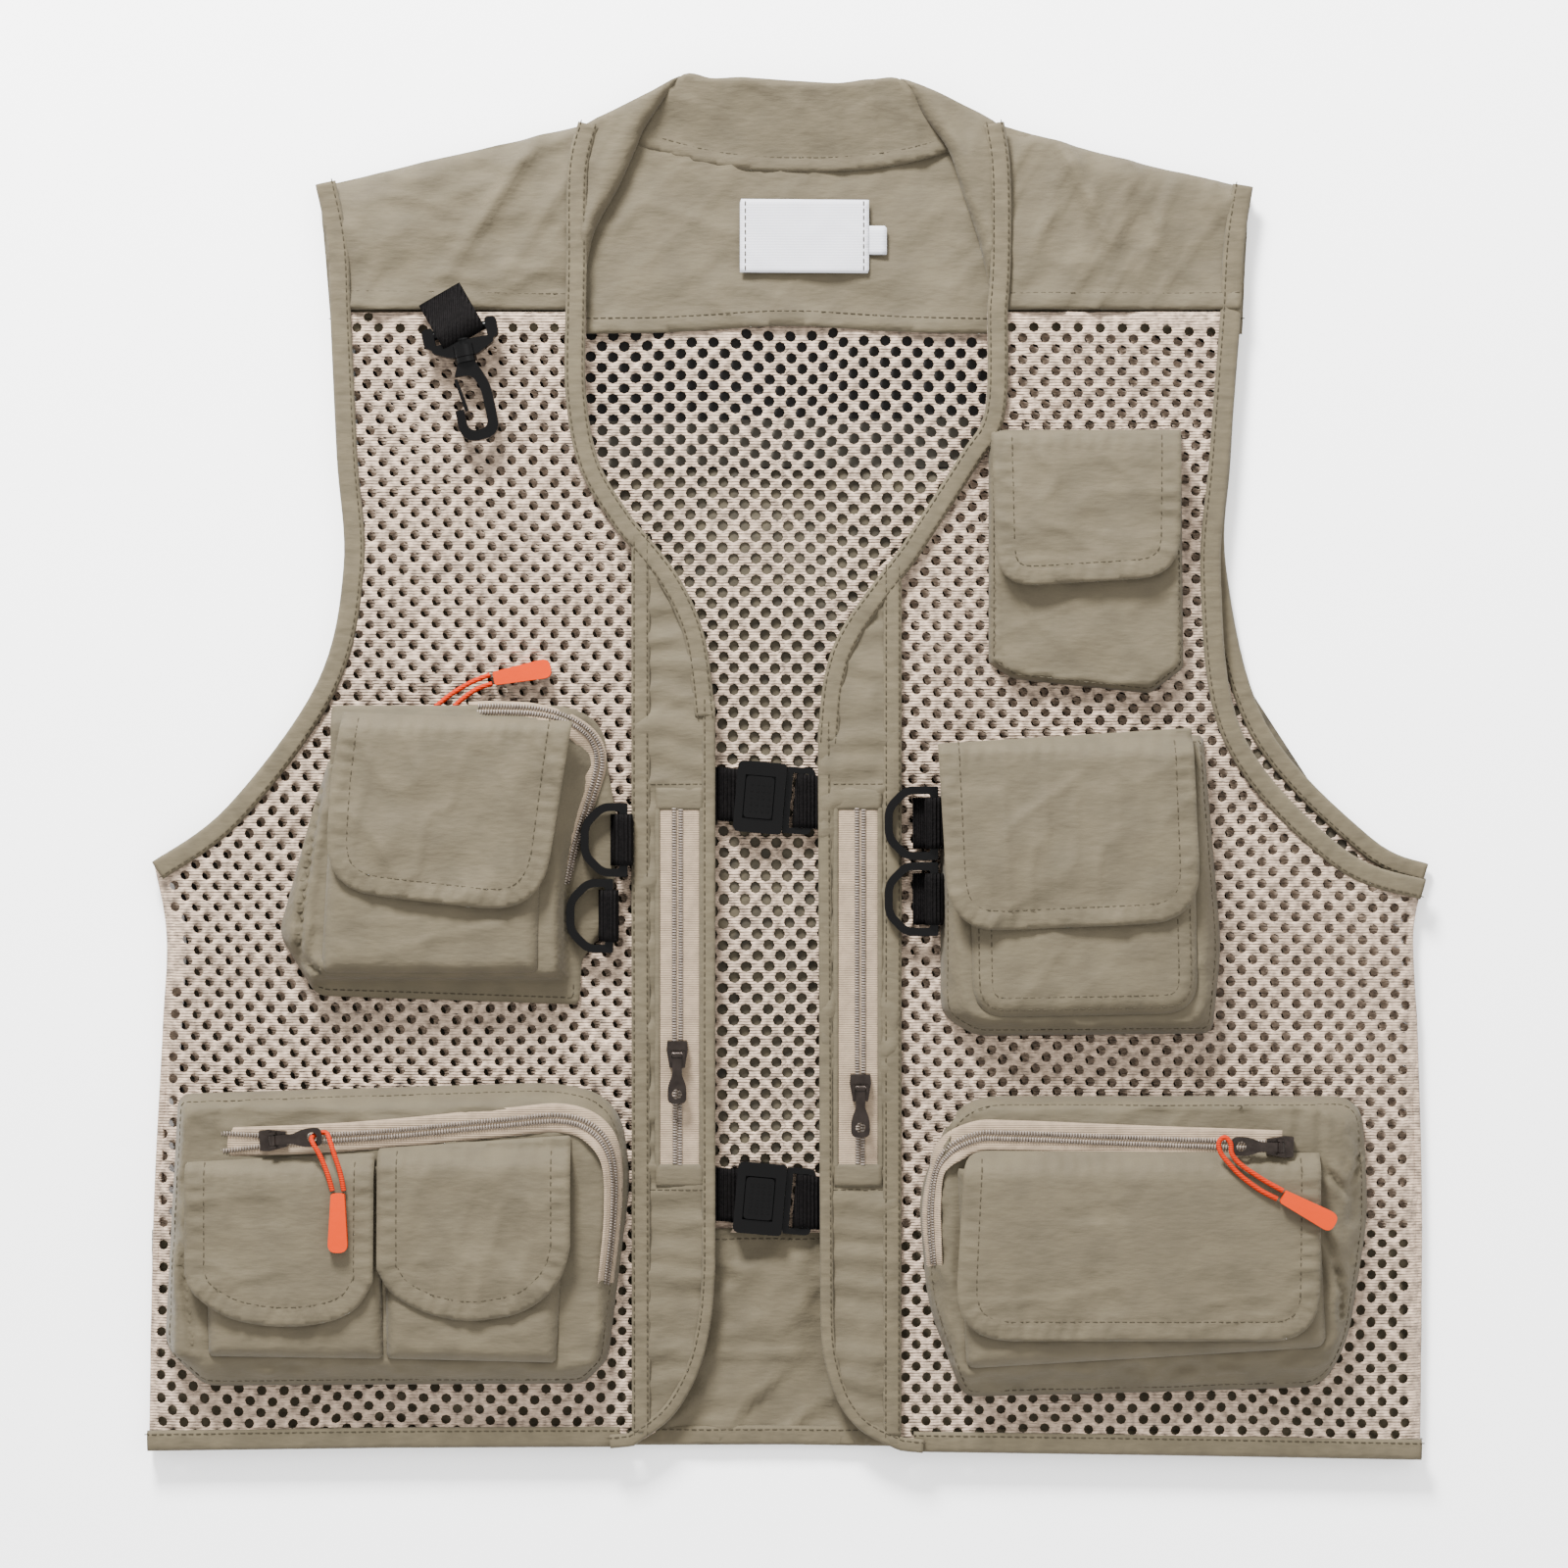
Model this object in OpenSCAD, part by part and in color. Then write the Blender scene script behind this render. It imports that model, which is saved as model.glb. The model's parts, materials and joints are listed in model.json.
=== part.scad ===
// Mesh fishing vest, laid flat on its back with the front up.
// +X runs to the wearer's left, +Y to the collar, +Z up from the surface it lies on.
// The origin is under the middle of the vest. Sizes are in millimetres.

/* [Garment] */
// Length from the hem to the top of the collar
vest_length = 620; // [616:1:628]
// Width across the chest, under the arms
vest_width = 576; // [574:1:584]
// Thickness of one cloth or mesh layer
cloth_t = 1.5; // [1.2:0.1:1.5]
// Space between the back and the front, where the wearer's body goes
torso_gap = 5.3; // [5.3:0.1:6]
// Width of the edge binding
binding_w = 8.5; // [7:0.5:8.5]

/* [Pockets] */
// Depth of the four large pockets
bag_depth = 18; // [18:1:22]
// Depth of the small pocket on the wearer's left chest
chest_depth = 12; // [11:1:16]
// Depth of the patch pockets sewn on the large ones
patch_depth = 6; // [6:0.5:8]
// Thickness of a pocket wall
wall = 1.5; // [1.2:0.1:1.6]
// Thickness of a flap
flap_t = 2; // [1.6:0.1:2.4]

/* [Hardware] */
// Width of the webbing in the buckles
webbing_w = 24; // [20:1:24]
// Lean of both buckles, in degrees
buckle_lean = -5; // [-6:0.5:0]
// Outer height of a D-ring, along its straight bar
ring_h = 33; // [33:0.5:34]
// Lean of the snap hook, in degrees
hook_lean = 12; // [8:1:16]

/* [Zips] */
// Width of a zip tape
tape_w = 12; // [10:0.5:12]
// Length of a slider's pull tab from its pin
tab_l = 22; // [20:0.5:22]
// Diameter of an orange pull cord
cord_d = 2.2; // [2:0.1:2.4]

/* [Hidden] */
$fn = 32;

// Colours
olive = "#a39a82";
dark_olive = "#8c8470";
cream = "#d8ccb6";
black = "#1d1d1f";
metal = "#6a6460";
orange = "#ff6a28";

// Levels above the surface
panel_t = 1.2;
back_z = panel_t;
back_top = back_z + cloth_t;
front_z = back_top + torso_gap;
front_top = front_z + cloth_t;
yoke_top = front_z + 2;
placket_top = front_z + 3;
bag_top = front_top + bag_depth;
chest_top = front_top + chest_depth;
patch_top = bag_top + patch_depth;
strip_t = 0.8;
flap_gap = 0.1;
flap_z = patch_top + strip_t + flap_gap;
chest_flap_z = chest_top + strip_t + flap_gap;
binding_t = 1;
half_w = vest_width / 2;
half_l = vest_length / 2;
yoke_seam = 205;
back_seam = 197;
lower_band = -207;
seam_w = 4;
yoke_low = yoke_seam + 0.8; // clear of the ends of the bindings
fit_gap = 0.1;

// Rounding of outlines: a corner is [x, y, cut], and its curve starts cut before the corner.
bend_steps = 5;
function toward(a, b, d) = a + (b - a) * d / norm(b - a);
function bend(a, b, c, cut) = cut == 0 ? [b] : let (p = toward(b, a, cut), q = toward(b, c, cut))
    [for (k = [0 : bend_steps]) let (t = k / bend_steps)
        p * (1 - t) * (1 - t) + b * 2 * t * (1 - t) + q * t * t];
function flat(v) = [v.x, v.y];
function rounded(corners) = let (n = len(corners))
    [for (i = [0 : n - 1])
        each bend(flat(corners[(i + n - 1) % n]), flat(corners[i]), flat(corners[(i + 1) % n]),
            corners[i].z)];

// A smooth curve through points, in 2D or 3D
spline_steps = 4;
function between(a, b, c, d, t) = (b * 2 + (c - a) * t + (a * 2 - b * 5 + c * 4 - d) * t * t
    + (b * 3 - a - c * 3 + d) * t * t * t) / 2;
function spline(points, steps = spline_steps) = let (last = len(points) - 1)
    [for (i = [0 : last - 1]) for (k = [0 : steps - 1])
        between(points[max(i - 1, 0)], points[i], points[i + 1], points[min(i + 2, last)],
            k / steps),
     points[last]];

// A band of width w on the left-hand side of a path
function reversed(path) = [for (i = [len(path) - 1 : -1 : 0]) path[i]];
function side(path, i) = let (v = path[min(i + 1, len(path) - 1)] - path[max(i - 1, 0)])
    [-v.y, v.x] / norm(v);
function shifted(path, d) = [for (i = [0 : len(path) - 1]) path[i] + side(path, i) * d];
function ribbon(path, w) = concat(path, reversed(shifted(path, w)));
function rectangle(x0, y0, x1, y1, cut = 0) =
    rounded([[x0, y0, cut], [x1, y0, cut], [x1, y1, cut], [x0, y1, cut]]);

module layer(points, z, t) {
    translate([0, 0, z]) linear_extrude(t) polygon(points);
}
module block(low, high) {
    translate(low) cube(high - low);
}

// Outline curves of the garment
right_arm = spline([[-206, 205], [-203, 140], [-200, 90], [-212, 38], [-252, -17],
    [2 - half_w, -42]]);
left_arm_front = spline([[203, 205], [198, 140], [194, 84], [204, 15], [249, -36],
    [half_w - 2, -50]]);
left_arm_back = spline([[203, 205], [199, 140], [197, 90], [215, 20], [262, -31],
    [half_w, -43]]);
right_side = spline([[2 - half_w, -42], [8 - half_w, -75], [6 - half_w, -120],
    [2 - half_w, -200], [-half_w, 4 - half_l]]);
left_side = spline([[half_w - 2, -50], [half_w - 7, -75], [half_w - 5, -120],
    [half_w - 3, -200], [half_w - 4, -half_l]]);
right_shoulder = [[-211, 262], [-150, 276], [-90, 290]];
left_shoulder = [[90, 291], [147, 275], [207, 261]];
right_neck = spline([[-91, 205], [-91, 168], [-85, 137], [-70, 112]]);
right_lapel = spline([[-70, 112], [-50, 87], [-38, 60], [-33, 24]]);
right_corner = spline([[-33, -225], [-38, -250], [-46, -276], [-56, -296], [-70, 6 - half_l]]);
left_neck = spline([[89, 205], [88, 161], [77, 141], [50, 99]]);
left_lapel = spline([[50, 99], [25, 65], [16, 42], [13, 13]]);
left_corner = spline([[14, -225], [17, -258], [24, -281], [36, -297], [50, 4 - half_l]]);
right_hem = [-half_w, 4 - half_l];
left_hem = [half_w - 4, -half_l];

// ---------- Cloth shell ----------

module back_mesh() {
    color(cream) layer(concat([[203, back_seam], [-206, back_seam]],
        [for (p = right_arm) if (p.y < back_seam) p],
        [for (p = right_side) if (p.y > lower_band) p],
        [[1 - half_w, lower_band], [half_w - 3, lower_band]],
        reversed([for (p = left_side) if (p.y > lower_band) p]),
        reversed([for (p = left_arm_back) if (p.y < back_seam) p])), back_z, cloth_t);
}

module back_yoke() {
    color(olive) layer([[203, back_seam], [207, 261], [147, 275], [90, 291], [53, 306], [-48, 306],
        [-90, 290], [-150, 276], [-211, 262], [-206, back_seam]], back_z, cloth_t);
}

// Game pocket over the lower back, and the plain band that the mesh ends at
module back_pocket_panel() {
    color(dark_olive) {
        layer(rounded([[-188, 135, 12], [188, 135, 12], [192, 60, 20], [270, -60, 20],
            [278, 8 - half_l, 12], [8 - half_w, 8 - half_l, 12], [-270, -60, 20],
            [-192, 60, 20]]), 0, panel_t);
        layer([[1 - half_w, lower_band], right_hem, [0, 5 - half_l], left_hem,
            [half_w - 3, lower_band]], back_z, cloth_t);
    }
}

// Stand collar, folded down on its back neck seam
module collar_band() {
    color(olive) layer([[-88.5, 291], [-70, 300], [-48, half_l], [53, half_l], [72, 300],
        [88.5, 292], [88.5, 231], [78, 268], [68, 275], [18, 268], [-16, 269], [-66, 284],
        [-70, 278], [-88.5, 236]], back_top, yoke_top - back_top);
}

// A front panel of mesh, with the side seam that joins it to the back
module front_mesh(outline, seam_path, inward) {
    layer(outline, front_z, cloth_t);
    layer(ribbon(seam_path, inward), back_top, front_z - back_top);
}

module right_front_mesh() {
    color(cream) front_mesh(concat(right_arm, right_side, [[-70, 6 - half_l]],
        reversed(right_neck)), right_side, seam_w);
}

module left_front_mesh() {
    color(cream) front_mesh(concat(left_arm_front, left_side, [[50, 4 - half_l]],
        reversed(left_neck)), left_side, -seam_w);
}

module front_yokes() {
    color(olive) {
        layer(concat([[-206, yoke_low]], right_shoulder, [[-91, yoke_low]]), front_z,
            yoke_top - front_z);
        layer(ribbon(right_shoulder, -seam_w), back_top, front_z - back_top);
        layer(concat([[89, yoke_low]], left_shoulder, [[203, yoke_low]]), front_z,
            yoke_top - front_z);
        layer(ribbon(left_shoulder, -seam_w), back_top, front_z - back_top);
    }
}

// Bound edges: armholes, fronts and hem
module edge_bindings() {
    color(dark_olive) {
        layer(ribbon(right_arm, binding_w), front_top, binding_t);
        layer(ribbon(left_arm_front, -binding_w), front_top, binding_t);
        layer(ribbon([[-91, 232], [-91, yoke_seam]], -binding_w), yoke_top, binding_t);
        layer(ribbon([[89, 230], [89, yoke_seam]], binding_w), yoke_top, binding_t);
        layer(ribbon([[-211, 262], [-206, yoke_seam]], binding_w), yoke_top, binding_t);
        layer(ribbon([[207, 261], [203, yoke_seam]], -binding_w), yoke_top, binding_t);
        layer(ribbon(right_neck, -binding_w), front_top, binding_t);
        layer(ribbon(left_neck, binding_w), front_top, binding_t);
        layer(ribbon(concat(right_lapel, right_corner), -binding_w), placket_top, binding_t);
        layer(ribbon(concat(left_lapel, left_corner), binding_w), placket_top, binding_t);
        layer(ribbon([right_hem, [-70.1, 6 - half_l]], binding_w), front_top, binding_t);
        layer(ribbon([[50.1, 4 - half_l], left_hem], binding_w), front_top, binding_t);
    }
}

// Plain woven label and a small tag inside the neck
module neck_labels() {
    color("white") {
        layer(rectangle(-22, 223, 36, 256), back_top, 0.6);
        layer(rectangle(36.1, 231, 44, 244), back_top, 0.4);
    }
}

module right_placket() {
    color(olive) layer(concat(right_lapel, right_corner), front_z, placket_top - front_z);
}

module left_placket() {
    color(olive) layer(concat(left_lapel, left_corner), front_z, placket_top - front_z);
}

// ---------- Zips ----------

zip_top = -18;
zip_bottom = -178;
tape_t = 1;
coil_w = 3;
coil_h = 1.2;
right_zip_x = -50;
left_zip_x = 32;

// A short closed zip along Y: its tape and its coil
module zip(x) {
    layer(rectangle(x - tape_w / 2 - 2.3, zip_bottom, x + tape_w / 2 + 2.3, zip_top),
        placket_top, tape_t);
    layer(rectangle(x - coil_w / 2, zip_bottom, x + coil_w / 2, zip_top),
        placket_top + tape_t, coil_h);
}

module placket_zips() {
    color(cream) {
        zip(right_zip_x);
        zip(left_zip_x);
    }
}

// Middle lines of the pocket zips
cargo_zip_path = spline([[-257, -167.2], [-180, -161.2], [-104, -155.2], [-92, -160],
    [-88, -176], [-88, -236]]);
left_cargo_zip_path = spline([[66, -236], [66, -184], [78, -168], [90, -165.1], [150, -166.5],
    [226, -168.2]]);
// The zip of the right middle pocket is on the top and inner sides of its gusset
mid_gusset_y = 2;
mid_gusset_x = -104;
gusset_low = front_top + 4.5;

module pocket_zips() {
    color(cream) {
        layer(ribbon(shifted(cargo_zip_path, tape_w / 2), -tape_w), bag_top, tape_t);
        layer(ribbon(shifted(left_cargo_zip_path, tape_w / 2), -tape_w), bag_top, tape_t);
        layer(ribbon([[-205, mid_gusset_y], [mid_gusset_x, mid_gusset_y],
            [mid_gusset_x, -74]], tape_t), gusset_low, 10);
    }
}

// Slider on a zip tape: local +Y runs along the zip, and the tape's face is at z = 0
pin_z = 6.6;
pin_r = 0.8;
module zip_slider() {
    difference() {
        translate([0, 0, fit_gap]) linear_extrude(4.2)
            polygon([[-4.4, 6], [4.4, 6], [4.8, 2], [3.4, -6], [-3.4, -6], [-4.8, 2]]);
        block([-2.2, -7, 0], [2.2, 7, 2]);
    }
    for (x = [-3.5, 2.5])
        block([x, -1.5, 4.2], [x + 1, 1.5, 8]);
    translate([-3, 0, pin_z]) rotate([0, 90, 0]) cylinder(r = pin_r, h = 6);
}

// Pull tab on a slider's pin: it lies along local -Y
tab_t = 1.6;
eye_r = 2.2;
mid_tab_l = 15;
module pull_tab(l = tab_l) {
    difference() {
        union() {
            translate([0, 0, pin_z - tab_t / 2]) linear_extrude(tab_t)
                polygon(rounded([[-2.1, 0, 0], [-2.1, 13 - l, 1.5], [-4.2, 8 - l, 3],
                    [-4.2, -l, 3], [4.2, -l, 3], [4.2, 8 - l, 3], [2.1, 13 - l, 1.5],
                    [2.1, 0, 0]]));
            translate([-2.1, 0, pin_z]) rotate([0, 90, 0]) cylinder(r = 1.7, h = 4.2);
        }
        translate([-3, 0, pin_z]) rotate([0, 90, 0]) cylinder(r = pin_r + 0.15, h = 6);
        translate([0, 4.4 - l, 0]) cylinder(r = eye_r, h = 12);
    }
}

// Places of the five sliders
module at_right_placket() {
    translate([right_zip_x, -128, placket_top + tape_t]) children();
}
module at_left_placket() {
    translate([left_zip_x, -143, placket_top + tape_t]) children();
}
module at_right_mid() {
    translate([-157, mid_gusset_y + tape_t, gusset_low + 5]) rotate(-120, [1, 1, 1]) children();
}
module at_right_cargo() {
    translate([-229, -165, bag_top + tape_t]) rotate([0, 0, 94.5]) children();
}
module at_left_cargo() {
    translate([218, -168, bag_top + tape_t]) rotate([0, 0, -91.3]) children();
}

module right_placket_slider() {
    color(metal) at_right_placket() zip_slider();
}
module left_placket_slider() {
    color(metal) at_left_placket() zip_slider();
}
module right_placket_tab() {
    color(metal) at_right_placket() pull_tab();
}
module left_placket_tab() {
    color(metal) at_left_placket() pull_tab();
}
module right_mid_slider() {
    color(metal) at_right_mid() zip_slider();
}
module right_mid_tab() {
    color(metal) at_right_mid() translate([0, 0, pin_z]) rotate([-90, 0, 0])
        translate([0, 0, -pin_z]) pull_tab(mid_tab_l);
}
module right_cargo_slider() {
    color(metal) at_right_cargo() zip_slider();
}
module right_cargo_tab() {
    color(metal) at_right_cargo() pull_tab();
}
module left_cargo_slider() {
    color(metal) at_left_cargo() zip_slider();
}
module left_cargo_tab() {
    color(metal) at_left_cargo() pull_tab();
}

// ---------- Pull cords and their grips ----------

// A closed tube of cord_d swept along a route of points
cord_sides = 8;
function heading(route, i) = let (v = route[min(i + 1, len(route) - 1)] - route[max(i - 1, 0)])
    v / norm(v);
function across(h) = let (v = cross(h, [0, 0, 1])) v / norm(v);
function ring(centre, h) = let (u = across(h), w = cross(u, h))
    [for (k = [0 : cord_sides - 1]) let (a = 360 * k / cord_sides)
        centre + (u * cos(a) + w * sin(a)) * cord_d / 2];
module tube(route) {
    n = len(route);
    polyhedron([for (i = [0 : n - 1]) each ring(route[i], heading(route, i))],
        concat([[for (k = [cord_sides - 1 : -1 : 0]) k]],
            [for (i = [0 : n - 2]) for (k = [0 : cord_sides - 1]) let (j = (k + 1) % cord_sides)
                [i * cord_sides + k, i * cord_sides + j, (i + 1) * cord_sides + j,
                    (i + 1) * cord_sides + k]],
            [[for (k = [0 : cord_sides - 1]) (n - 1) * cord_sides + k]]));
}

// Each cord is one loop: out of its grip, round the tab's eye and back
mid_route = [[-133, 38, 13], [-140, 36, 13.4], [-147, 32.6, 14.8], [-152.4, 29.4, 16.6],
    [-156.4, 27, 18.4], [-159.4, 27.4, 19], [-159.6, 30.6, 18.4], [-156, 33.8, 17],
    [-150, 37.2, 15], [-142.6, 40.2, 13.6], [-134, 42, 13]];
right_cargo_route = [[-202, -187, 38.4], [-203.6, -180, 38], [-206.6, -173, 37.8],
    [-209.6, -167, 37.8], [-211, -163.4, 37.9], [-209.6, -161.4, 37.9], [-206.6, -161.8, 37.9],
    [-203.6, -166, 37.8], [-200.6, -173, 37.8], [-198.2, -180, 38], [-197, -187, 38.4]];
left_cargo_route = [[216, -190.6, 38.4], [208, -186.4, 38], [200, -181.4, 38],
    [193.6, -175.8, 38], [190.4, -170, 38], [190.6, -165.6, 38], [193, -164, 38],
    [194.6, -166.4, 38], [194.6, -170.6, 38], [198, -175.6, 38], [204.6, -180, 38],
    [211.6, -183.6, 38], [218.6, -187, 38.4]];

module right_mid_cord() {
    color(orange) tube(mid_route);
}
module right_cargo_cord() {
    color(orange) tube(right_cargo_route);
}
module left_cargo_cord() {
    color(orange) tube(left_cargo_route);
}

// Moulded grip: starts at the middle of the cord's two ends and lies along local +X
grip_w = 9;
grip_t = 4.6;
grip_l = 26;
module grip(start, angle) {
    translate(start) rotate([0, 0, angle]) translate([fit_gap + cord_d / 2, 0, -grip_t / 2])
        linear_extrude(grip_t) polygon(rounded([[0, -grip_w / 2 + 1.5, 1],
            [grip_l, -grip_w / 2, 4], [grip_l, grip_w / 2, 4], [0, grip_w / 2 - 1.5, 1]]));
}
module right_mid_grip() {
    color(orange) grip([-133.4, 40, 13], 11);
}
module right_cargo_grip() {
    color(orange) grip([-199.5, -187, 39.2], -90);
}
module left_cargo_grip() {
    color(orange) grip([217.3, -188.8, 39.2], -28);
}

// ---------- Pockets ----------

function inset(points, w) = let (xs = [for (p = points) p.x], ys = [for (p = points) p.y],
    mid = [max(xs) + min(xs), max(ys) + min(ys)] / 2,
    half = [max(xs) - min(xs), max(ys) - min(ys)] / 2)
    [for (p = points) [mid.x + (p.x - mid.x) * (half.x - w) / half.x,
        mid.y + (p.y - mid.y) * (half.y - w) / half.y]];

// A pocket standing on a flat base: a hollow bag, whose mouth is a block cut out of it
module bag(base, body, depth, mouth_low, mouth_high) {
    difference() {
        union() {
            layer(base, front_top, wall);
            layer(body, front_top, depth);
        }
        layer(inset(body, wall), front_top + wall, depth - 2 * wall);
        block(mouth_low, mouth_high);
    }
}

mid_body = rounded([[-220, -91, 10], [mid_gusset_x, -91, 4],
    [mid_gusset_x, mid_gusset_y, 8], [-208, mid_gusset_y, 4]]);
module right_mid_bag() {
    color(olive) {
        bag(rounded([[-228, -74, 0], [-211, -101, 4], [-94, -105, 0], [-90, -86, 0],
            [-88, -20, 4], [-92, mid_gusset_y, 0], [-206, mid_gusset_y, 0]]), mid_body, bag_depth,
            [-200, mid_gusset_y - 2 * wall, gusset_low + 2],
            [-112, mid_gusset_y + 1, gusset_low + 8]);
        layer(rectangle(-203, mid_gusset_y, mid_gusset_x, 24, 4), bag_top - wall, wall);
    }
}

cargo_body = rounded([[-264, -268, 14], [-82, -268, 14], [-82, -148, 18], [-264, -150, 10]]);
module right_cargo_bag() {
    color(olive) bag(rounded([[-279, -260, 0], [-258, -277, 8], [-98, -273, 10],
        [-76, -250, 8], [-74, -160, 16], [-107, -141, 16], [-270, -147, 6]]), cargo_body,
        bag_depth, [-250, -165, bag_top - 2 * wall], [-110, -159, bag_top + 1]);
}

left_cargo_body = rounded([[72, -268, 10], [246, -268, 14], [252, -150, 12],
    [60, -150, 18]]);
module left_cargo_bag() {
    color(olive) bag(rounded([[62, -231, 0], [80, -278, 8], [160, -277, 0], [244, -273, 12],
        [259, -200, 6], [258, -148, 8], [76, -148, 14], [58, -190, 0]]), left_cargo_body,
        bag_depth, [92, -169, bag_top - 2 * wall], [222, -163, bag_top + 1]);
}

chest_body = rounded([[100, 34, 2], [166, 34, 2], [176, 46, 2], [175, 150, 0],
    [93.5, 150, 0], [90.5, 142, 0], [90, 46, 2]]);
module left_chest_bag() {
    color(olive) bag(chest_body, chest_body, chest_depth, [96, 144, front_top + wall],
        [170, 152, chest_top - wall]);
}

left_mid_body = rounded([[74, -113, 8], [186, -113, 8], [180, 8, 0], [73, 8, 0]]);
module left_mid_bag() {
    color(olive) bag(rounded([[69, -110, 6], [84, -119, 4], [190, -118, 4], [193, -80, 0],
        [184, 14, 0], [69, 10, 0]]), left_mid_body, bag_depth, [80, 2, front_top + wall],
        [174, 10, bag_top - wall]);
}

// A patch pocket: an open-topped shell sewn on the front of a bag
module patch(outline, base_z) {
    top = max([for (p = outline) p.y]);
    xs = [for (p = outline) p.x];
    difference() {
        layer(outline, base_z, patch_depth);
        layer(inset(outline, wall), base_z - 1, patch_depth - wall + 1);
        block([min(xs) + wall, top - 3 * wall, base_z - 1],
            [max(xs) - wall, top + 1, base_z + patch_depth - wall]);
    }
}

module patch_pockets() {
    color(olive) {
        patch(rounded([[-208, -88, 6], [-108, -88, 6], [-108, 0, 0], [-204, 0, 0]]), bag_top);
        patch(rounded([[-258, -262, 6], [-182, -262, 6], [-182, -178, 0], [-260, -178, 0]]),
            bag_top);
        patch(rounded([[-180, -262, 6], [-100, -262, 6], [-98, -174, 0], [-180, -174, 0]]),
            bag_top);
        patch(rounded([[84, -110, 14], [180, -110, 14], [178, -6, 0], [82, -6, 0]]), bag_top);
        patch(rounded([[80, -260, 10], [234, -260, 10], [232, -178, 0], [76, -178, 0]]),
            bag_top);
    }
}

// Hook-and-loop strips on the patches, under the free edges of the flaps
module closure_strips() {
    color(dark_olive) {
        layer(rectangle(-184, -52, -124, -36), patch_top, strip_t);
        layer(rectangle(-244, -238, -204, -224), patch_top, strip_t);
        layer(rectangle(-162, -236, -122, -222), patch_top, strip_t);
        layer(rectangle(112, 88, 152, 102), chest_top, strip_t);
        layer(rectangle(100, -60, 156, -44), patch_top, strip_t);
        layer(rectangle(120, -244, 190, -228), patch_top, strip_t);
    }
}

// A flap, hinged along its top edge
module flap(x0, x1, low, top, cut, z = flap_z) {
    color(olive) layer(rounded([[x0, low, cut], [x1, low, cut], [x1, top, 0], [x0, top, 0]]), z,
        flap_t);
}

mid_flap_top = 24;
outer_flap_top = -173;
inner_flap_top = -169;
chest_flap_top = 150;
left_mid_flap_top = 14;
left_cargo_flap_top = -172;
module right_mid_flap() {
    flap(-203, -103, -62, mid_flap_top, 26);
}
module right_cargo_outer_flap() {
    flap(-267, -184, -247, outer_flap_top, 26);
}
module right_cargo_inner_flap() {
    flap(-182, -97, -245, inner_flap_top, 26);
}
module left_chest_flap() {
    flap(91, 174, 81, chest_flap_top, 20, chest_flap_z);
}
module left_mid_flap() {
    flap(69, 183, -72, left_mid_flap_top, 24);
}
module left_cargo_flap() {
    flap(72, 235, -254, left_cargo_flap_top, 24);
}

// ---------- Buckles ----------

housing_z = back_top + 0.3;
housing_h = 9;
housing_l = 22;
housing_w = 32;
tunnel_h = 4.5;
tunnel_z = housing_z + 2;
prong_t = 2.6;
tongue_z = housing_z + 0.1;
tongue_h = 4.8;
web_t = 1.4;
module at_upper_buckle() {
    translate([-13, -13, 0]) rotate([0, 0, buckle_lean]) children();
}
module at_lower_buckle() {
    translate([-13, -193, 0]) rotate([0, 0, buckle_lean]) children();
}

// Female half: a tunnel for the tongue, a window for the button, a slot for the webbing
module buckle_housing() {
    half = housing_l / 2;
    difference() {
        layer(rounded([[-half, -housing_w / 2, 3], [half, -housing_w / 2, 2],
            [half, housing_w / 2, 2], [-half, housing_w / 2, 3]]), housing_z, housing_h);
        block([-half + 4, -12.7, tunnel_z], [half + 1, 12.7, tunnel_z + tunnel_h]);
        block([-7.2, -9.8, tunnel_z], [6.4, 9.8, housing_z + housing_h + 1]);
        block([-half - 1, -webbing_w / 2 - 0.3, housing_z + 2.5],
            [-half + 2.5, webbing_w / 2 + 0.3, housing_z + 4.5]);
    }
}

module buckle_button() {
    layer(rounded([[-6.8, -9.4, 2], [6, -9.4, 2], [6, 9.4, 2], [-6.8, 9.4, 2]]),
        tunnel_z + tunnel_h, 3.2);
    for (x = [-4, -1.3, 1.4, 4])
        for (y = [-6 : 3 : 6])
            translate([x, y, tunnel_z + tunnel_h + 3.2]) cylinder(r = 0.6, h = 0.4);
}

// Male half: two prongs and a ladder frame for the webbing
module buckle_tongue() {
    half = housing_l / 2;
    for (s = [-1, 1])
        block([-half + 5, min(s * 12.3, s * 8), tunnel_z + 0.2],
            [half + 0.4, max(s * 12.3, s * 8), tunnel_z + 0.2 + prong_t]);
    difference() {
        layer(rounded([[half + 0.2, -15, 1], [half + 13, -15, 3], [half + 13, 15, 3],
            [half + 0.2, 15, 1]]), tongue_z, tongue_h);
        block([half + 3, -webbing_w / 2 - 0.3, tongue_z - 1],
            [half + 5.4, webbing_w / 2 + 0.3, tongue_z + tongue_h + 1]);
        block([half + 7.6, -webbing_w / 2 - 0.3, tongue_z - 1],
            [half + 10, webbing_w / 2 + 0.3, tongue_z + tongue_h + 1]);
    }
}

// Webbing sewn under the right placket, into the housing's slot
module right_webbing() {
    layer(rectangle(-30, -webbing_w / 2, -housing_l / 2 + 2.4, webbing_w / 2), housing_z + 2.8,
        web_t);
}

// Webbing folded through the tongue's first slot and running under the left placket
module left_webbing() {
    half = housing_l / 2;
    layer(rectangle(half + 13.2, -webbing_w / 2, half + 36, webbing_w / 2), tongue_z + 1.6,
        web_t);
    layer(rectangle(half + 3.4, -webbing_w / 2, half + 5, webbing_w / 2), tongue_z + 0.4,
        tongue_h - 0.8);
}

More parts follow.
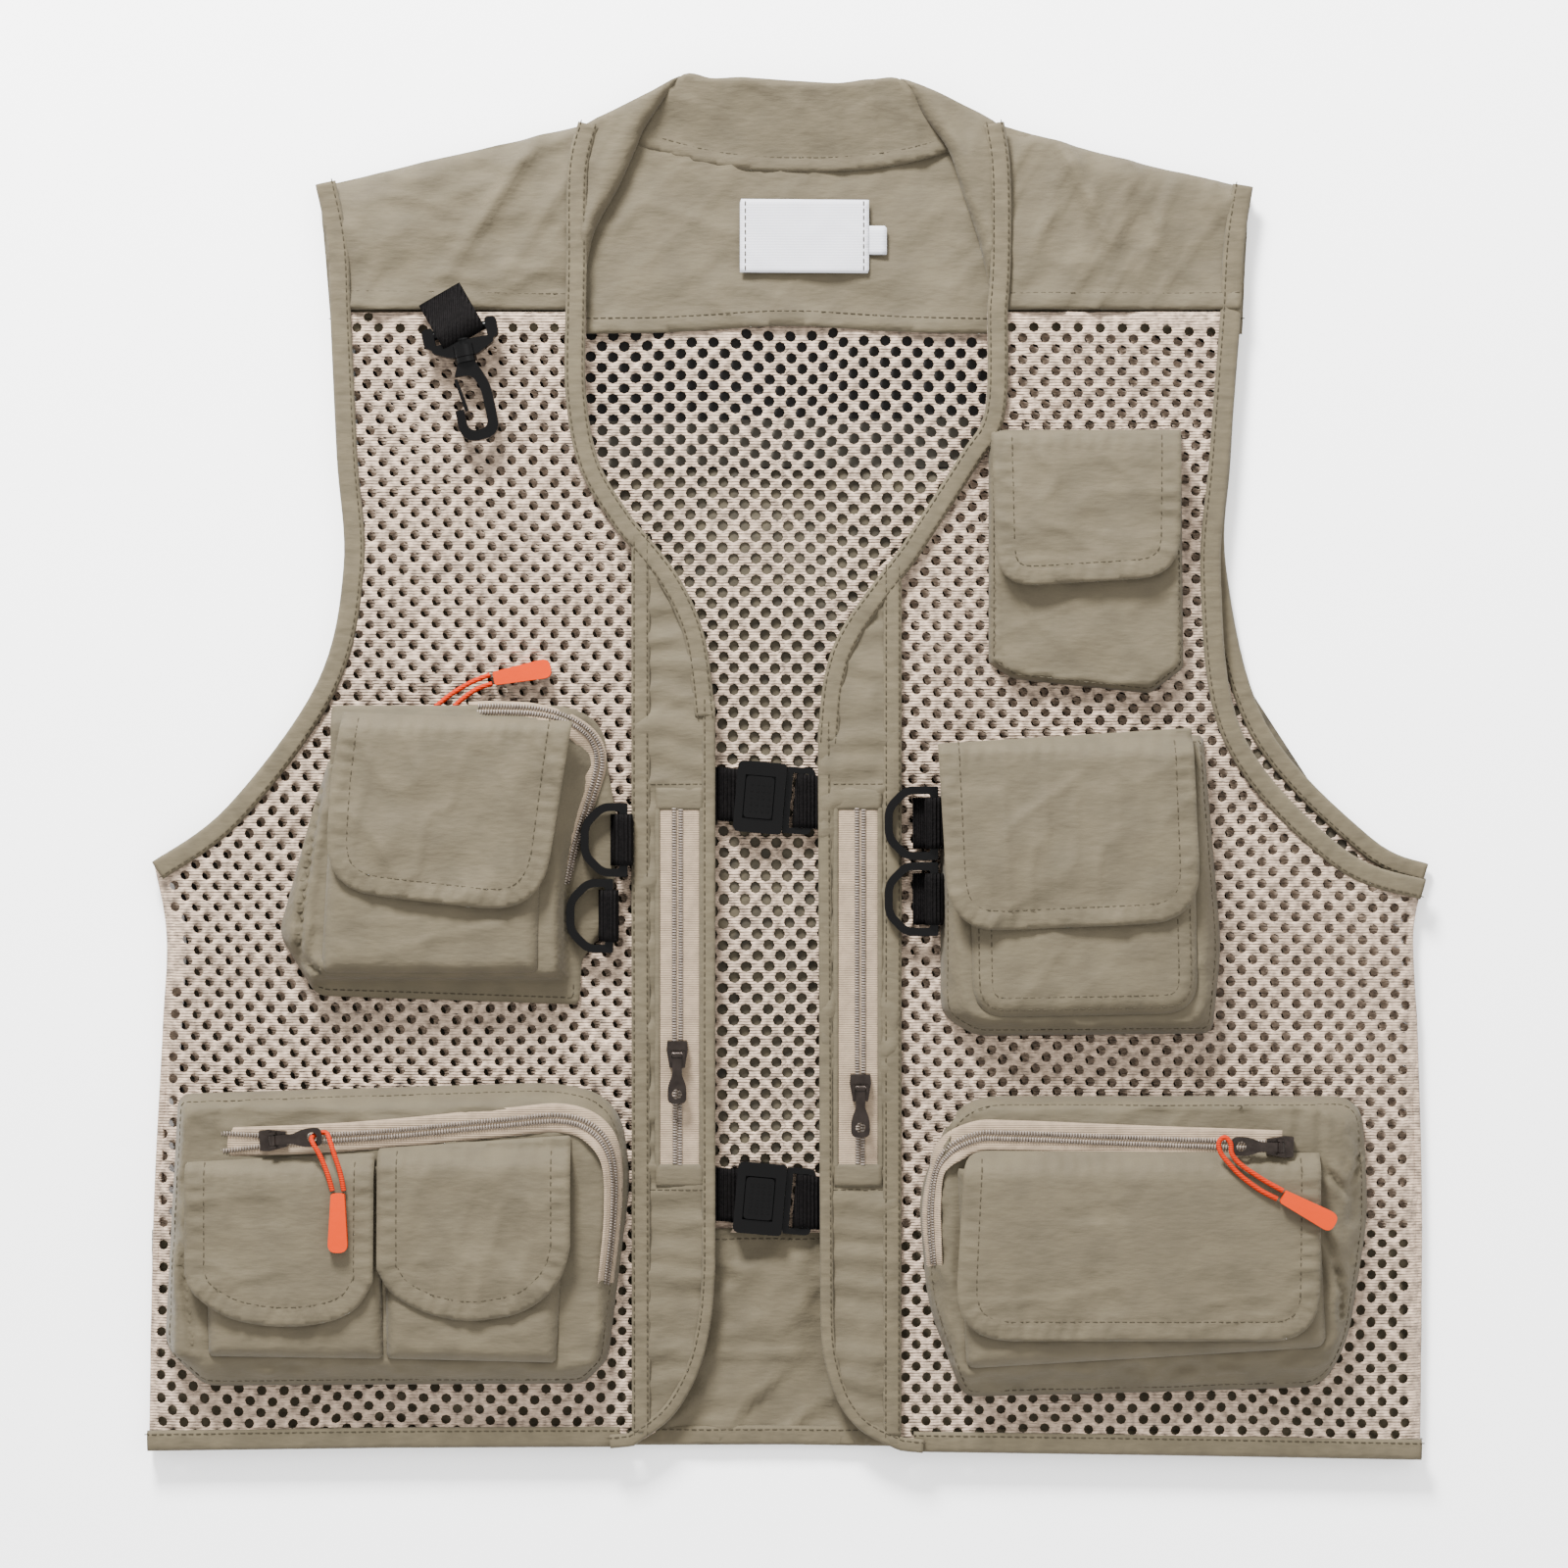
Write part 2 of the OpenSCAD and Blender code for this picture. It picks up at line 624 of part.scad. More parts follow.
module upper_buckle_housing() {
    color(black) at_upper_buckle() buckle_housing();
}
module lower_buckle_housing() {
    color(black) at_lower_buckle() buckle_housing();
}
module upper_buckle_button() {
    color(black) at_upper_buckle() buckle_button();
}
module lower_buckle_button() {
    color(black) at_lower_buckle() buckle_button();
}
module upper_buckle_tongue() {
    color(black) at_upper_buckle() buckle_tongue();
}
module lower_buckle_tongue() {
    color(black) at_lower_buckle() buckle_tongue();
}
module buckle_webbing_right() {
    color(black) {
        at_upper_buckle() right_webbing();
        at_lower_buckle() right_webbing();
    }
}
module upper_webbing_left() {
    color(black) at_upper_buckle() left_webbing();
}
module lower_webbing_left() {
    color(black) at_lower_buckle() left_webbing();
}

// ---------- D-rings ----------

ring_z = placket_top + 5;
ring_t = 4;
bar_w = 3.6;
loop_r = 4.4;
ring_web = 23;
right_ring_depth = 21;
left_ring_depth = 24;

// A D with cut corners: its straight bar is on local x = 0 and its bow points along -X
module d_ring(depth) {
    far = bar_w / 2 - depth;
    high = ring_h / 2;
    translate([0, 0, -ring_t / 2]) linear_extrude(ring_t) difference() {
        polygon(rounded([[bar_w / 2, -high, 1], [bar_w / 2, high, 1], [far + 9, high, 4],
            [far, high - 9, 5], [far, 9 - high, 5], [far + 9, -high, 4]]));
        polygon(rounded([[-bar_w / 2, bar_w - high, 1], [-bar_w / 2, high - bar_w, 1],
            [far + 10.4, high - bar_w, 3], [far + bar_w, high - 10.6, 3],
            [far + bar_w, 10.6 - high, 3], [far + 10.4, bar_w - high, 3]]));
    }
}

// Webbing tab round the bar, sewn flat to the front beside it
module ring_loop(reach) {
    rotate([90, 0, 0]) translate([0, 0, -ring_web / 2]) linear_extrude(ring_web) difference() {
        union() {
            circle(r = loop_r);
            translate([-2, front_top - ring_z]) square([4, ring_z - front_top - 3.5]);
            translate([-reach, front_top - ring_z]) square([reach + 2, 1.6]);
        }
        circle(r = 3.1);
    }
}

right_upper_at = [-74, -32, ring_z];
right_lower_at = [-80.4, -66, ring_z];
left_upper_at = [65, -24.5, ring_z];
left_lower_at = [65, -58.5, ring_z];
module right_upper_ring() {
    color(black) translate(right_upper_at) d_ring(right_ring_depth);
}
module right_lower_ring() {
    color(black) translate(right_lower_at) d_ring(right_ring_depth);
}
module left_upper_ring() {
    color(black) translate(left_upper_at) d_ring(left_ring_depth);
}
module left_lower_ring() {
    color(black) translate(left_lower_at) d_ring(left_ring_depth);
}
module ring_webbing() {
    color(black) {
        translate(right_upper_at) ring_loop(6);
        translate(right_lower_at) ring_loop(5);
        translate(left_upper_at) ring_loop(9.5);
        translate(left_lower_at) ring_loop(9.5);
    }
}

// ---------- Snap hook ----------

hook_z = front_top + 7.5;
strap_w = 22;
bar_y = 6;
module at_hook() {
    translate([-146, 190, hook_z]) rotate([0, 0, hook_lean]) children();
}

// Strap round the swivel's cross-bar, running up on to the yoke
module hook_strap() {
    color(black) at_hook() rotate([90, 0, 90]) translate([0, 0, -strap_w / 2]) difference() {
        union() {
            translate([bar_y, 0, 0]) cylinder(r = 3.8, h = strap_w);
            linear_extrude(strap_w) polygon([[bar_y, -3], [bar_y + 3, -1.2],
                [20.5, yoke_top - hook_z + 1.6], [31, yoke_top - hook_z + 1.6],
                [31, yoke_top - hook_z + fit_gap], [20, yoke_top - hook_z + fit_gap]]);
        }
        translate([bar_y, 0, -1]) cylinder(r = 2.3, h = strap_w + 2);
    }
}

// Swivel head: cross-bar, two side lobes and the socket of the hook's stem
module hook_swivel() {
    color(black) at_hook() difference() {
        union() {
            translate([-14, bar_y, 0]) rotate([0, 90, 0]) cylinder(r = 2, h = 28);
            for (s = [-1, 1])
                translate([s * 14.2, 0, -3]) linear_extrude(6)
                    polygon([for (p = rounded([[-2.4, -2, 1], [2.8, 1, 2], [2.8, 9, 2],
                        [-2.4, 9.5, 2]])) [p.x * s, p.y]]);
            translate([0, 0, -3]) linear_extrude(6)
                polygon(rounded([[-14, 1.2, 0], [14, 1.2, 0], [14, -2, 1], [6, -6, 2],
                    [-6, -6, 2], [-14, -2, 1]]));
            translate([0, -1, 0]) rotate([90, 0, 0]) cylinder(r = 5.4, h = 5);
        }
        translate([0, 3, 0]) rotate([90, 0, 0]) cylinder(r = 3.1, h = 12);
    }
}

// Hook, turning in the socket on its stem
module snap_hook() {
    color(black) at_hook() {
        translate([0, 2.1, 0]) rotate([90, 0, 0]) cylinder(r = 3.9, h = 0.8);
        translate([0, 2, 0]) rotate([90, 0, 0]) cylinder(r = 3, h = 10);
        translate([0, -6.2, 0]) rotate([90, 0, 0]) cylinder(r = 5, h = 2.4);
        translate([0, 0, -2.5]) linear_extrude(5) difference() {
            polygon(rounded([[-3.6, -8, 0], [3.6, -8, 0], [8.6, -20, 5], [8.6, -44, 8],
                [-9.4, -44, 8], [-9.4, -20, 4]]));
            polygon(rounded([[-5.6, -14.2, 0], [1.6, -15, 3], [4, -22, 3], [4, -39.4, 4.5],
                [-5.4, -39.4, 4.5]]));
            polygon([[-10, -29], [-5, -29], [-5, -14.6], [-10, -12.6]]);
        }
    }
}

// Sprung gate across the hook's mouth
module hook_gate() {
    color(black) at_hook() translate([0, 0, -1.6]) linear_extrude(3.2)
        polygon([[-7, -15.2], [-5.6, -15.2], [-3.4, -30], [-5.1, -30]]);
}

back_mesh();
back_yoke();
back_pocket_panel();
collar_band();
right_front_mesh();
left_front_mesh();
front_yokes();
edge_bindings();
neck_labels();
right_placket();
left_placket();
placket_zips();
right_placket_slider();
left_placket_slider();
right_placket_tab();
left_placket_tab();
pocket_zips();
right_mid_bag();
right_cargo_bag();
left_chest_bag();
left_mid_bag();
left_cargo_bag();
patch_pockets();
closure_strips();
right_mid_flap();
right_cargo_outer_flap();
right_cargo_inner_flap();
left_chest_flap();
left_mid_flap();
left_cargo_flap();
right_mid_slider();
right_cargo_slider();
left_cargo_slider();
right_mid_tab();
right_cargo_tab();
left_cargo_tab();
right_mid_cord();
right_cargo_cord();
left_cargo_cord();
right_mid_grip();
right_cargo_grip();
left_cargo_grip();
upper_buckle_housing();
lower_buckle_housing();
upper_buckle_button();
lower_buckle_button();
upper_buckle_tongue();
lower_buckle_tongue();
buckle_webbing_right();
upper_webbing_left();
lower_webbing_left();
right_upper_ring();
right_lower_ring();
left_upper_ring();
left_lower_ring();
ring_webbing();
hook_strap();
hook_swivel();
snap_hook();
hook_gate();
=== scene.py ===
import json
import math

import bpy
import numpy as np
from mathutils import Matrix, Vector
from mathutils.geometry import delaunay_2d_cdt

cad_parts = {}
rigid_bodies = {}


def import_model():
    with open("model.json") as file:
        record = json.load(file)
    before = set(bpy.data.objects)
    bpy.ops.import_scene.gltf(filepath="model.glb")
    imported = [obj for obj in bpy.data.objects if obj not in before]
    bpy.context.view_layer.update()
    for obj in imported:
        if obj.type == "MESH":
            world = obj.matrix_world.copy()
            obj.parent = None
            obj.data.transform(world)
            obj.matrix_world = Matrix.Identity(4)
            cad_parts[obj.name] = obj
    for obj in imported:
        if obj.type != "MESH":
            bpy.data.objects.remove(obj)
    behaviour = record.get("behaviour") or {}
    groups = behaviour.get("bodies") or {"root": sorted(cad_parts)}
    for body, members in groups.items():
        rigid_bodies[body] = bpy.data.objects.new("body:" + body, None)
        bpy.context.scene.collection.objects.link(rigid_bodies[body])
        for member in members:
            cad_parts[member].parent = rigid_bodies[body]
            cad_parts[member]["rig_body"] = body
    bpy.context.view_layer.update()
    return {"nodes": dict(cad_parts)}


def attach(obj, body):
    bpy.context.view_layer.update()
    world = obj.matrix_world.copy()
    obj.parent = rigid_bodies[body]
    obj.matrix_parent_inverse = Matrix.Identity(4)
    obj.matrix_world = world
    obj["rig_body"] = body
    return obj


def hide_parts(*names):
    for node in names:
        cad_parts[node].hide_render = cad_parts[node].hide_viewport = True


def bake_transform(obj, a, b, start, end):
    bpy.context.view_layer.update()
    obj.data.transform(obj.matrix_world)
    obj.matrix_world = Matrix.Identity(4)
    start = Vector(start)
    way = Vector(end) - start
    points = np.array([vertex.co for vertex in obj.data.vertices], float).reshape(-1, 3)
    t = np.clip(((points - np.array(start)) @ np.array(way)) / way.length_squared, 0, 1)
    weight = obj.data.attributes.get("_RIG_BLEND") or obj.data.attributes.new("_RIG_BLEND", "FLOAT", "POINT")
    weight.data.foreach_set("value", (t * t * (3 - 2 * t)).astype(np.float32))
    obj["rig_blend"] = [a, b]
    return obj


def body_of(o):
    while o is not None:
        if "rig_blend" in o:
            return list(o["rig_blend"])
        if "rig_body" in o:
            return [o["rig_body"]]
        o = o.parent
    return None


# The fishing vest, laid flat with its front up. Lengths are in millimetres until a mesh is made.
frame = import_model()
nodes = frame["nodes"]
MM = 0.001

# ---------- Camera ----------

CAMERA_AT = (-2.2, -7.0, 2010.0)
LENS = 102.3  # shows 704 mm at the vest
camera = bpy.data.objects.new("camera", bpy.data.cameras.new("camera"))
camera.data.lens, camera.data.sensor_width = LENS, 36
camera.location = Vector(CAMERA_AT) * MM
bpy.context.scene.collection.objects.link(camera)
bpy.context.scene.camera = camera

# ---------- Levels, as in the CAD model ----------

FRONT_TOP, PLACKET_TOP = 9.5, 11.0
BAG_TOP, CHEST_TOP, PATCH_TOP = 27.5, 21.5, 33.5
FLAP_TOP, CHEST_FLAP_TOP = 36.4, 24.4
CORD_D = 2.2
STITCH = 3.3  # from one stitch to the next
COIL = 1.25  # from one turn of a zip's coil to the next


# ---------- Curves, in the plane or in space ----------


def curve(points, steps=8):
    """A smooth line through points."""
    p = np.array(points, float)
    p = np.vstack([p[:1], p, p[-1:]])
    out = []
    for a, b, c, d in zip(p, p[1:], p[2:], p[3:]):
        for t in np.arange(steps) / steps:
            out.append(
                b + ((c - a) * t + (2 * a - 5 * b + 4 * c - d) * t**2 + (3 * b - a - 3 * c + d) * t**3) / 2
            )
    return np.array(out + [p[-1]])


def rounded(corners, steps=7):
    """An outline whose corners (x, y, cut) are curved from cut before each corner."""
    out, n = [], len(corners)
    for i in range(n):
        a, b, c = (np.array(corners[(i + k) % n][:2], float) for k in (-1, 0, 1))
        cut = corners[i][2] if len(corners[i]) > 2 else 0
        if not cut:
            out.append(b)
            continue
        p, q = b + (a - b) * cut / np.linalg.norm(a - b), b + (c - b) * cut / np.linalg.norm(c - b)
        out += [p * (1 - t) ** 2 + 2 * b * t * (1 - t) + q * t**2 for t in np.linspace(0, 1, steps)]
    return np.array(out)


def lengths(path):
    """How far along a path each of its points lies."""
    return np.concatenate([[0], np.cumsum(np.linalg.norm(np.diff(path, axis=0), axis=1))])


def even(path, step, closed=False):
    """Points about step apart along a path."""
    p = np.vstack([path, path[:1]]) if closed else np.array(path, float)
    s = lengths(p)
    n = max(3, round(s[-1] / step))
    at = np.linspace(0, s[-1], n + 1)[: n if closed else n + 1]
    return np.column_stack([np.interp(at, s, p[:, k]) for k in range(p.shape[1])])


def measure(points, path, closed=True):
    """How far each point is from the path, and how far along the path its nearest point lies."""
    a = np.array(path, float)
    b = np.roll(a, -1, axis=0)
    if not closed:
        a, b = a[:-1], b[:-1]
    v = b - a
    length = np.linalg.norm(v, axis=1)
    start = np.concatenate([[0], np.cumsum(length)[:-1]])
    square = np.maximum(length**2, 1e-12)
    far, along = np.empty(len(points)), np.empty(len(points))
    for i in range(0, len(points), 4000):
        p = points[i : i + 4000, None, :] - a[None]
        t = np.clip((p * v).sum(2) / square, 0, 1)
        d = np.linalg.norm(p - t[..., None] * v, axis=2)
        k = d.argmin(1)
        rows = np.arange(len(k))
        far[i : i + 4000] = d[rows, k]
        along[i : i + 4000] = start[k] + t[rows, k] * length[k]
    return far, along


def inside(points, outline):
    a, b = outline, np.roll(outline, -1, axis=0)
    x, y = points[:, 0, None], points[:, 1, None]
    with np.errstate(divide="ignore", invalid="ignore"):
        crosses = ((a[:, 1] > y) != (b[:, 1] > y)) & (
            x < (b[:, 0] - a[:, 0]) * (y - a[:, 1]) / (b[:, 1] - a[:, 1]) + a[:, 0]
        )
    return crosses.sum(1) % 2 == 1


def unit(v):
    return v / np.linalg.norm(v, axis=1)[:, None]


def normals(path):
    v = unit(np.gradient(path[:, :2], axis=0))
    return np.column_stack([-v[:, 1], v[:, 0]])


def offset(path, w):
    return path + normals(path) * w


# ---------- Folds and puckers ----------


def bell(t):
    return np.exp(-(t**2))


def lattice(ix, iy, seed):
    n = (ix * 374761393 + iy * 668265263 + seed * 1442695041) & 0xFFFFFFFF
    n = ((n ^ (n >> 13)) * 1274126177) & 0xFFFFFFFF
    return ((n ^ (n >> 16)) & 0xFFFF) / 32767.5 - 1


def noise(x, y, size, seed):
    """Smooth noise from -1 to 1, with features of that size."""
    x, y = np.asarray(x) / size, np.asarray(y) / size
    ix, iy = np.floor(x).astype(np.int64), np.floor(y).astype(np.int64)
    u, v = x - ix, y - iy
    u, v = (t * t * t * (t * (t * 6 - 15) + 10) for t in (u, v))
    low = lattice(ix, iy, seed) * (1 - u) + lattice(ix + 1, iy, seed) * u
    high = lattice(ix, iy + 1, seed) * (1 - u) + lattice(ix + 1, iy + 1, seed) * u
    return low * (1 - v) + high * v


def creases(x, y, long, wide, angle, seed):
    """Soft ridges that run along an angle in degrees, from 0 to 1."""
    a = math.radians(angle)
    u, v = (x * math.cos(a) + y * math.sin(a)) / long, (y * math.cos(a) - x * math.sin(a)) / wide
    return (1 - np.abs(noise(u, v, 1, seed))) ** 3


def rumple(x, y, seed, amount=1.0):
    """The uneven lie of cloth."""
    return amount * (
        0.6 * noise(x, y, 34, seed)
        + 0.4 * noise(x, y, 15, seed + 1)
        + 0.9 * creases(x, y, 46, 17, 35 + 23 * seed, seed + 2)
        + 0.6 * creases(x, y, 30, 10, 110 + 31 * seed, seed + 3)
        - 0.5
    )


def doubled(t, thick):
    """What the second layer of a hem adds, where t is below 0."""
    return thick / (1 + np.exp(t * 2.2))


def puckers(d, s, stitched, seed, amount=0.75):
    """Ripples between an edge and the stitching that holds it, and the groove along the stitching."""
    wave = np.sin(s * 0.92 + 2.2 * noise(s, d * 0, 23, seed))
    patchy = 0.65 + 0.35 * noise(s, d * 0, 17, seed + 1)
    ripple = amount * patchy * wave * bell((d - stitched * 0.62) / (stitched * 0.42))
    return ripple - 0.35 * bell((d - stitched) / 1.1)


# ---------- Materials ----------


def put(node, **values):
    """Sets the inputs of a shader node; an underscore stands for a space."""
    for key, value in values.items():
        node.inputs[key.replace("_", " ")].default_value = value
    return node


looks = {}


def material(name, colour, roughness=0.85, metallic=0.0, sheen=0.0, bumps=(), spread=0.06,
             patch=22.0, gloss=0.5):
    """Makes looks[name]. spread: how far the tint wanders, in patches of that size in mm.
    bumps: (kind, size in mm, stretch, depth in mm) for each layer of fine relief."""
    m = bpy.data.materials.new(name)
    m.use_nodes = True
    tree = m.node_tree
    shader = put(tree.nodes["Principled BSDF"], Roughness=roughness, Metallic=metallic, Sheen_Weight=sheen,
                 Specular_IOR_Level=gloss)
    link = tree.links.new
    place = tree.nodes.new("ShaderNodeTexCoord")
    tint = put(tree.nodes.new("ShaderNodeTexNoise"), Scale=1 / (patch * MM), Detail=4)
    link(place.outputs["Object"], tint.inputs["Vector"])
    ramp = tree.nodes.new("ShaderNodeValToRGB")
    ramp.color_ramp.elements[0].position, ramp.color_ramp.elements[1].position = 0.3, 0.7
    ramp.color_ramp.elements[0].color = (*[c * (1 - spread) for c in colour], 1)
    ramp.color_ramp.elements[1].color = (*[min(c * (1 + spread), 1) for c in colour], 1)
    link(tint.outputs["Fac"], ramp.inputs["Fac"])
    link(ramp.outputs["Color"], shader.inputs["Base Color"])
    last = None
    for kind, size, stretch, depth in bumps:
        mapping = put(tree.nodes.new("ShaderNodeMapping"), Scale=[s / (size * MM) for s in stretch])
        link(place.outputs["Object"], mapping.inputs["Vector"])
        if kind == "noise":
            texture = put(tree.nodes.new("ShaderNodeTexNoise"), Scale=1, Detail=2)
        else:
            texture = put(tree.nodes.new("ShaderNodeTexWave"), Scale=0.314, Distortion=0.6)
            texture.bands_direction = kind
        link(mapping.outputs["Vector"], texture.inputs["Vector"])
        bump = put(tree.nodes.new("ShaderNodeBump"), Strength=1, Distance=depth * MM)
        link(texture.outputs["Fac"], bump.inputs["Height"])
        if last:
            link(last.outputs["Normal"], bump.inputs["Normal"])
        last = bump
    if last:
        link(last.outputs["Normal"], shader.inputs["Normal"])
    looks[name] = m


PLAIN = (1, 1, 1)  # a bump that is not stretched
OLIVE = (0.059, 0.0475, 0.0275)
CREAM = (0.265, 0.195, 0.141)
CLOTH_BUMPS = [("noise", 9, (0.6, 1, 1), 0.9), ("noise", 1.6, (0.3, 1, 1), 0.22)]
TAPE_BUMPS = [("Y", 1.0, PLAIN, 0.15), ("noise", 2, PLAIN, 0.15)]
WEBBING_BUMPS = [("X", 1.7, PLAIN, 0.9), ("noise", 0.8, PLAIN, 0.3)]


def shade(colour, share):
    return [c * share for c in colour]


material("olive_cloth", OLIVE, 0.8, sheen=0.04, bumps=CLOTH_BUMPS, spread=0.12, patch=14, gloss=0.3)
# Painted shade: the olive darkened to 0.55, for the shade that falls on the back pocket cloth under the mesh
material("painted_shade_cloth", shade(OLIVE, 0.55), sheen=0.04, bumps=CLOTH_BUMPS, spread=0.6, patch=9, gloss=0.3)
material("binding", shade(OLIVE, 1.04), sheen=0.04, bumps=CLOTH_BUMPS, spread=0.14, patch=9, gloss=0.3)
material("thread", shade(OLIVE, 0.6), 0.8, gloss=0.2)
material("mesh", CREAM, 0.75, sheen=0.08, spread=0.5, patch=3.2, gloss=0.3,
         bumps=[("Y", 1.3, PLAIN, 0.35), ("noise", 1.8, (0.3, 1, 1), 1.2)])
material("label", (0.42, 0.42, 0.45), 0.6, bumps=[("Y", 0.7, PLAIN, 0.06)], spread=0.02)
material("zip_tape", (0.19, 0.14, 0.093), sheen=0.05, bumps=TAPE_BUMPS, spread=0.15, patch=5, gloss=0.3)
material("zip_coil", (0.12, 0.096, 0.077), 0.4, spread=0.35, patch=2)
material("zip_metal", (0.022, 0.017, 0.0145), 0.24, metallic=0.9, spread=0.25, patch=4,
         bumps=[("noise", 1.5, PLAIN, 0.1)])
material("hook_and_loop", shade(OLIVE, 0.8), 0.95, gloss=0.2, bumps=[("noise", 0.9, PLAIN, 0.4)])
material("orange_cord", (0.28, 0.014, 0.0), 0.7, gloss=0.08, spread=0.08, patch=3,
         bumps=[("Y", 1.0, PLAIN, 0.15)])
material("orange_grip", (0.37, 0.026, 0.0), 0.5, gloss=0.08, spread=0.05, bumps=[("noise", 3, PLAIN, 0.1)])
material("black_plastic", (0.0012, 0.0011, 0.0011), 0.26, gloss=0.09, spread=0.2,
         bumps=[("noise", 0.8, PLAIN, 0.05)])
material("webbing", (0.003, 0.0025, 0.0025), 0.75, gloss=0.05, bumps=WEBBING_BUMPS, spread=0.3, patch=2)


# ---------- Meshes ----------


def solid(name, points, faces, look, body="vest", node=(), hinge=None):
    """A smooth piece that rides on a body, or, given its hinge (line y, end y), bends up to it."""
    mesh = bpy.data.meshes.new(name)
    mesh.from_pydata((np.asarray(points) * MM).tolist(), [], [list(map(int, f)) for f in faces])
    mesh.polygons.foreach_set("use_smooth", [True] * len(mesh.polygons))
    mesh.materials.append(looks[look])
    piece = bpy.data.objects.new(name, mesh)
    bpy.context.scene.collection.objects.link(piece)
    if hinge:
        start, end = ((0, y * MM, 0) for y in hinge)
        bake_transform(piece, "vest", body, start, end)
    else:
        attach(piece, body)
    for n in [node] if isinstance(node, str) else node:
        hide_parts(n)
    return piece


def thicken(p, triangles, top, bottom):
    """Closes a sheet of triangles into a layer: a top, a bottom, and a wall along each free edge."""
    n = len(p)
    points = np.vstack([np.column_stack([p, top]), np.column_stack([p, bottom])])
    edges = np.vstack([triangles[:, [0, 1]], triangles[:, [1, 2]], triangles[:, [2, 0]]])
    known = set(map(tuple, edges.tolist()))
    free = [(a, b) for a, b in edges.tolist() if (b, a) not in known]
    walls = [(a, a + n, b + n, b) for a, b in free]
    return points, triangles.tolist() + (triangles[:, ::-1] + n).tolist() + walls


def triangulate(outline, step):
    rim = even(outline, step, closed=True)
    low, high = outline.min(0), outline.max(0)
    rows = np.arange(low[1], high[1], step * 0.866)
    grid = np.array(
        [(x, y) for j, y in enumerate(rows) for x in np.arange(low[0] + (j % 2) * step / 2, high[0], step)]
    )
    grid = grid[inside(grid, outline)]
    grid = grid[measure(grid, outline)[0] > step * 0.6]
    points = np.vstack([rim, grid])
    n = len(rim)
    made = delaunay_2d_cdt(
        [Vector(p) for p in points.tolist()], [(i, (i + 1) % n) for i in range(n)], [], 1, 1e-6
    )
    return np.array([tuple(v) for v in made[0]]), np.array(made[2])


def spindle(points, faces, centre, along, reach, shoulder, ring):
    """Adds a small pointed bar: reach runs from its middle to its tips, and shoulder to its two rings."""
    n = len(points)
    points.append(centre - along * reach)
    for t in (-shoulder, shoulder):
        points += [centre + along * t + v for v in ring]
    points.append(centre + along * reach)
    for k in range(4):
        j = (k + 1) % 4
        faces += [(n, n + 1 + k, n + 1 + j), (n + 1 + k, n + 5 + k, n + 5 + j, n + 1 + j),
                  (n + 5 + k, n + 9, n + 5 + j)]


def thread(name, lines, surface, body="vest", hinge=None):
    """Rows of stitches along lines, each a small raised spindle on the surface."""
    points, faces = [], []
    for line in lines:
        at = even(line, STITCH)
        way = unit(np.gradient(at, axis=0))
        z = surface(at)
        slope = np.gradient(z) / STITCH
        across = np.column_stack([-way[:, 1], way[:, 0]])
        for p, w, c, h, g in zip(at, way, across, z, slope):
            ahead = np.array([w[0], w[1], g])
            side, up = np.array([c[0], c[1], 0]), np.array([0, 0, 1])
            centre = np.array([p[0], p[1], h + 0.12])
            ring = (side * 0.27, up * 0.2, -side * 0.27, -up * 0.2)
            spindle(points, faces, centre, ahead, 1.25, 0.8, ring)
    return solid(name, points, faces, "thread", body, hinge=hinge)


def cloth(name, outline, height, thick=1.2, step=2.4, look="olive_cloth", body="vest", node=(), hinge=None,
          seams=()):
    """A layer of cloth of that outline whose top is height(points, distance from edge, along edge)."""
    p, triangles = triangulate(outline, step)

    def surface(q):
        d, s = measure(q, outline)
        return height(q, d, s)

    d, s = measure(p, outline)
    top = height(p, d, s)
    rim = d < 0.05
    points, faces = thicken(p, triangles, top - 0.3 * thick * rim, top - thick * (1 - 0.3 * rim))
    piece = solid(name, points, faces, look, body, node, hinge)
    going = [thread(name + "_stitches", seams, surface, body, hinge)] if len(seams) else []


def inner_line(outline, w, closed=True):
    """The outline moved w inwards."""
    p = even(outline, 1.5, closed=True)
    v = np.roll(p, -1, axis=0) - np.roll(p, 1, axis=0)
    n = unit(np.column_stack([-v[:, 1], v[:, 0]]))
    area = np.sum(p[:, 0] * np.roll(p[:, 1], -1) - np.roll(p[:, 0], -1) * p[:, 1])
    q = p + n * w * (1 if area > 0 else -1)
    q = q[inside(q, outline)]
    q = q[measure(q, outline)[0] > w * 0.93]
    return np.vstack([q, q[:1]]) if closed else q


def run_of(line, kept):
    """The kept run of a closed line, in order."""
    first = np.flatnonzero(kept & ~np.roll(kept, 1))[0]
    return np.roll(line, -first, axis=0)[np.roll(kept, -first)]


# Holes of the mesh fabric: rows 4.9 mm apart, each half a pitch on from the last
PITCH = 9.8
MESH_T = 0.8
MARGIN = 1.2  # from a hole to the edge of the fabric, at least
HOLE, BACK_HOLE = 2.25, 2.55
FRONT_SHIFT = (2.9, 1.3)  # so that the holes of front and back do not line up
RIM = [(math.cos(a), math.sin(a)) for a in np.arange(8) * math.pi / 4]
ACROSS = 9  # points across a strip


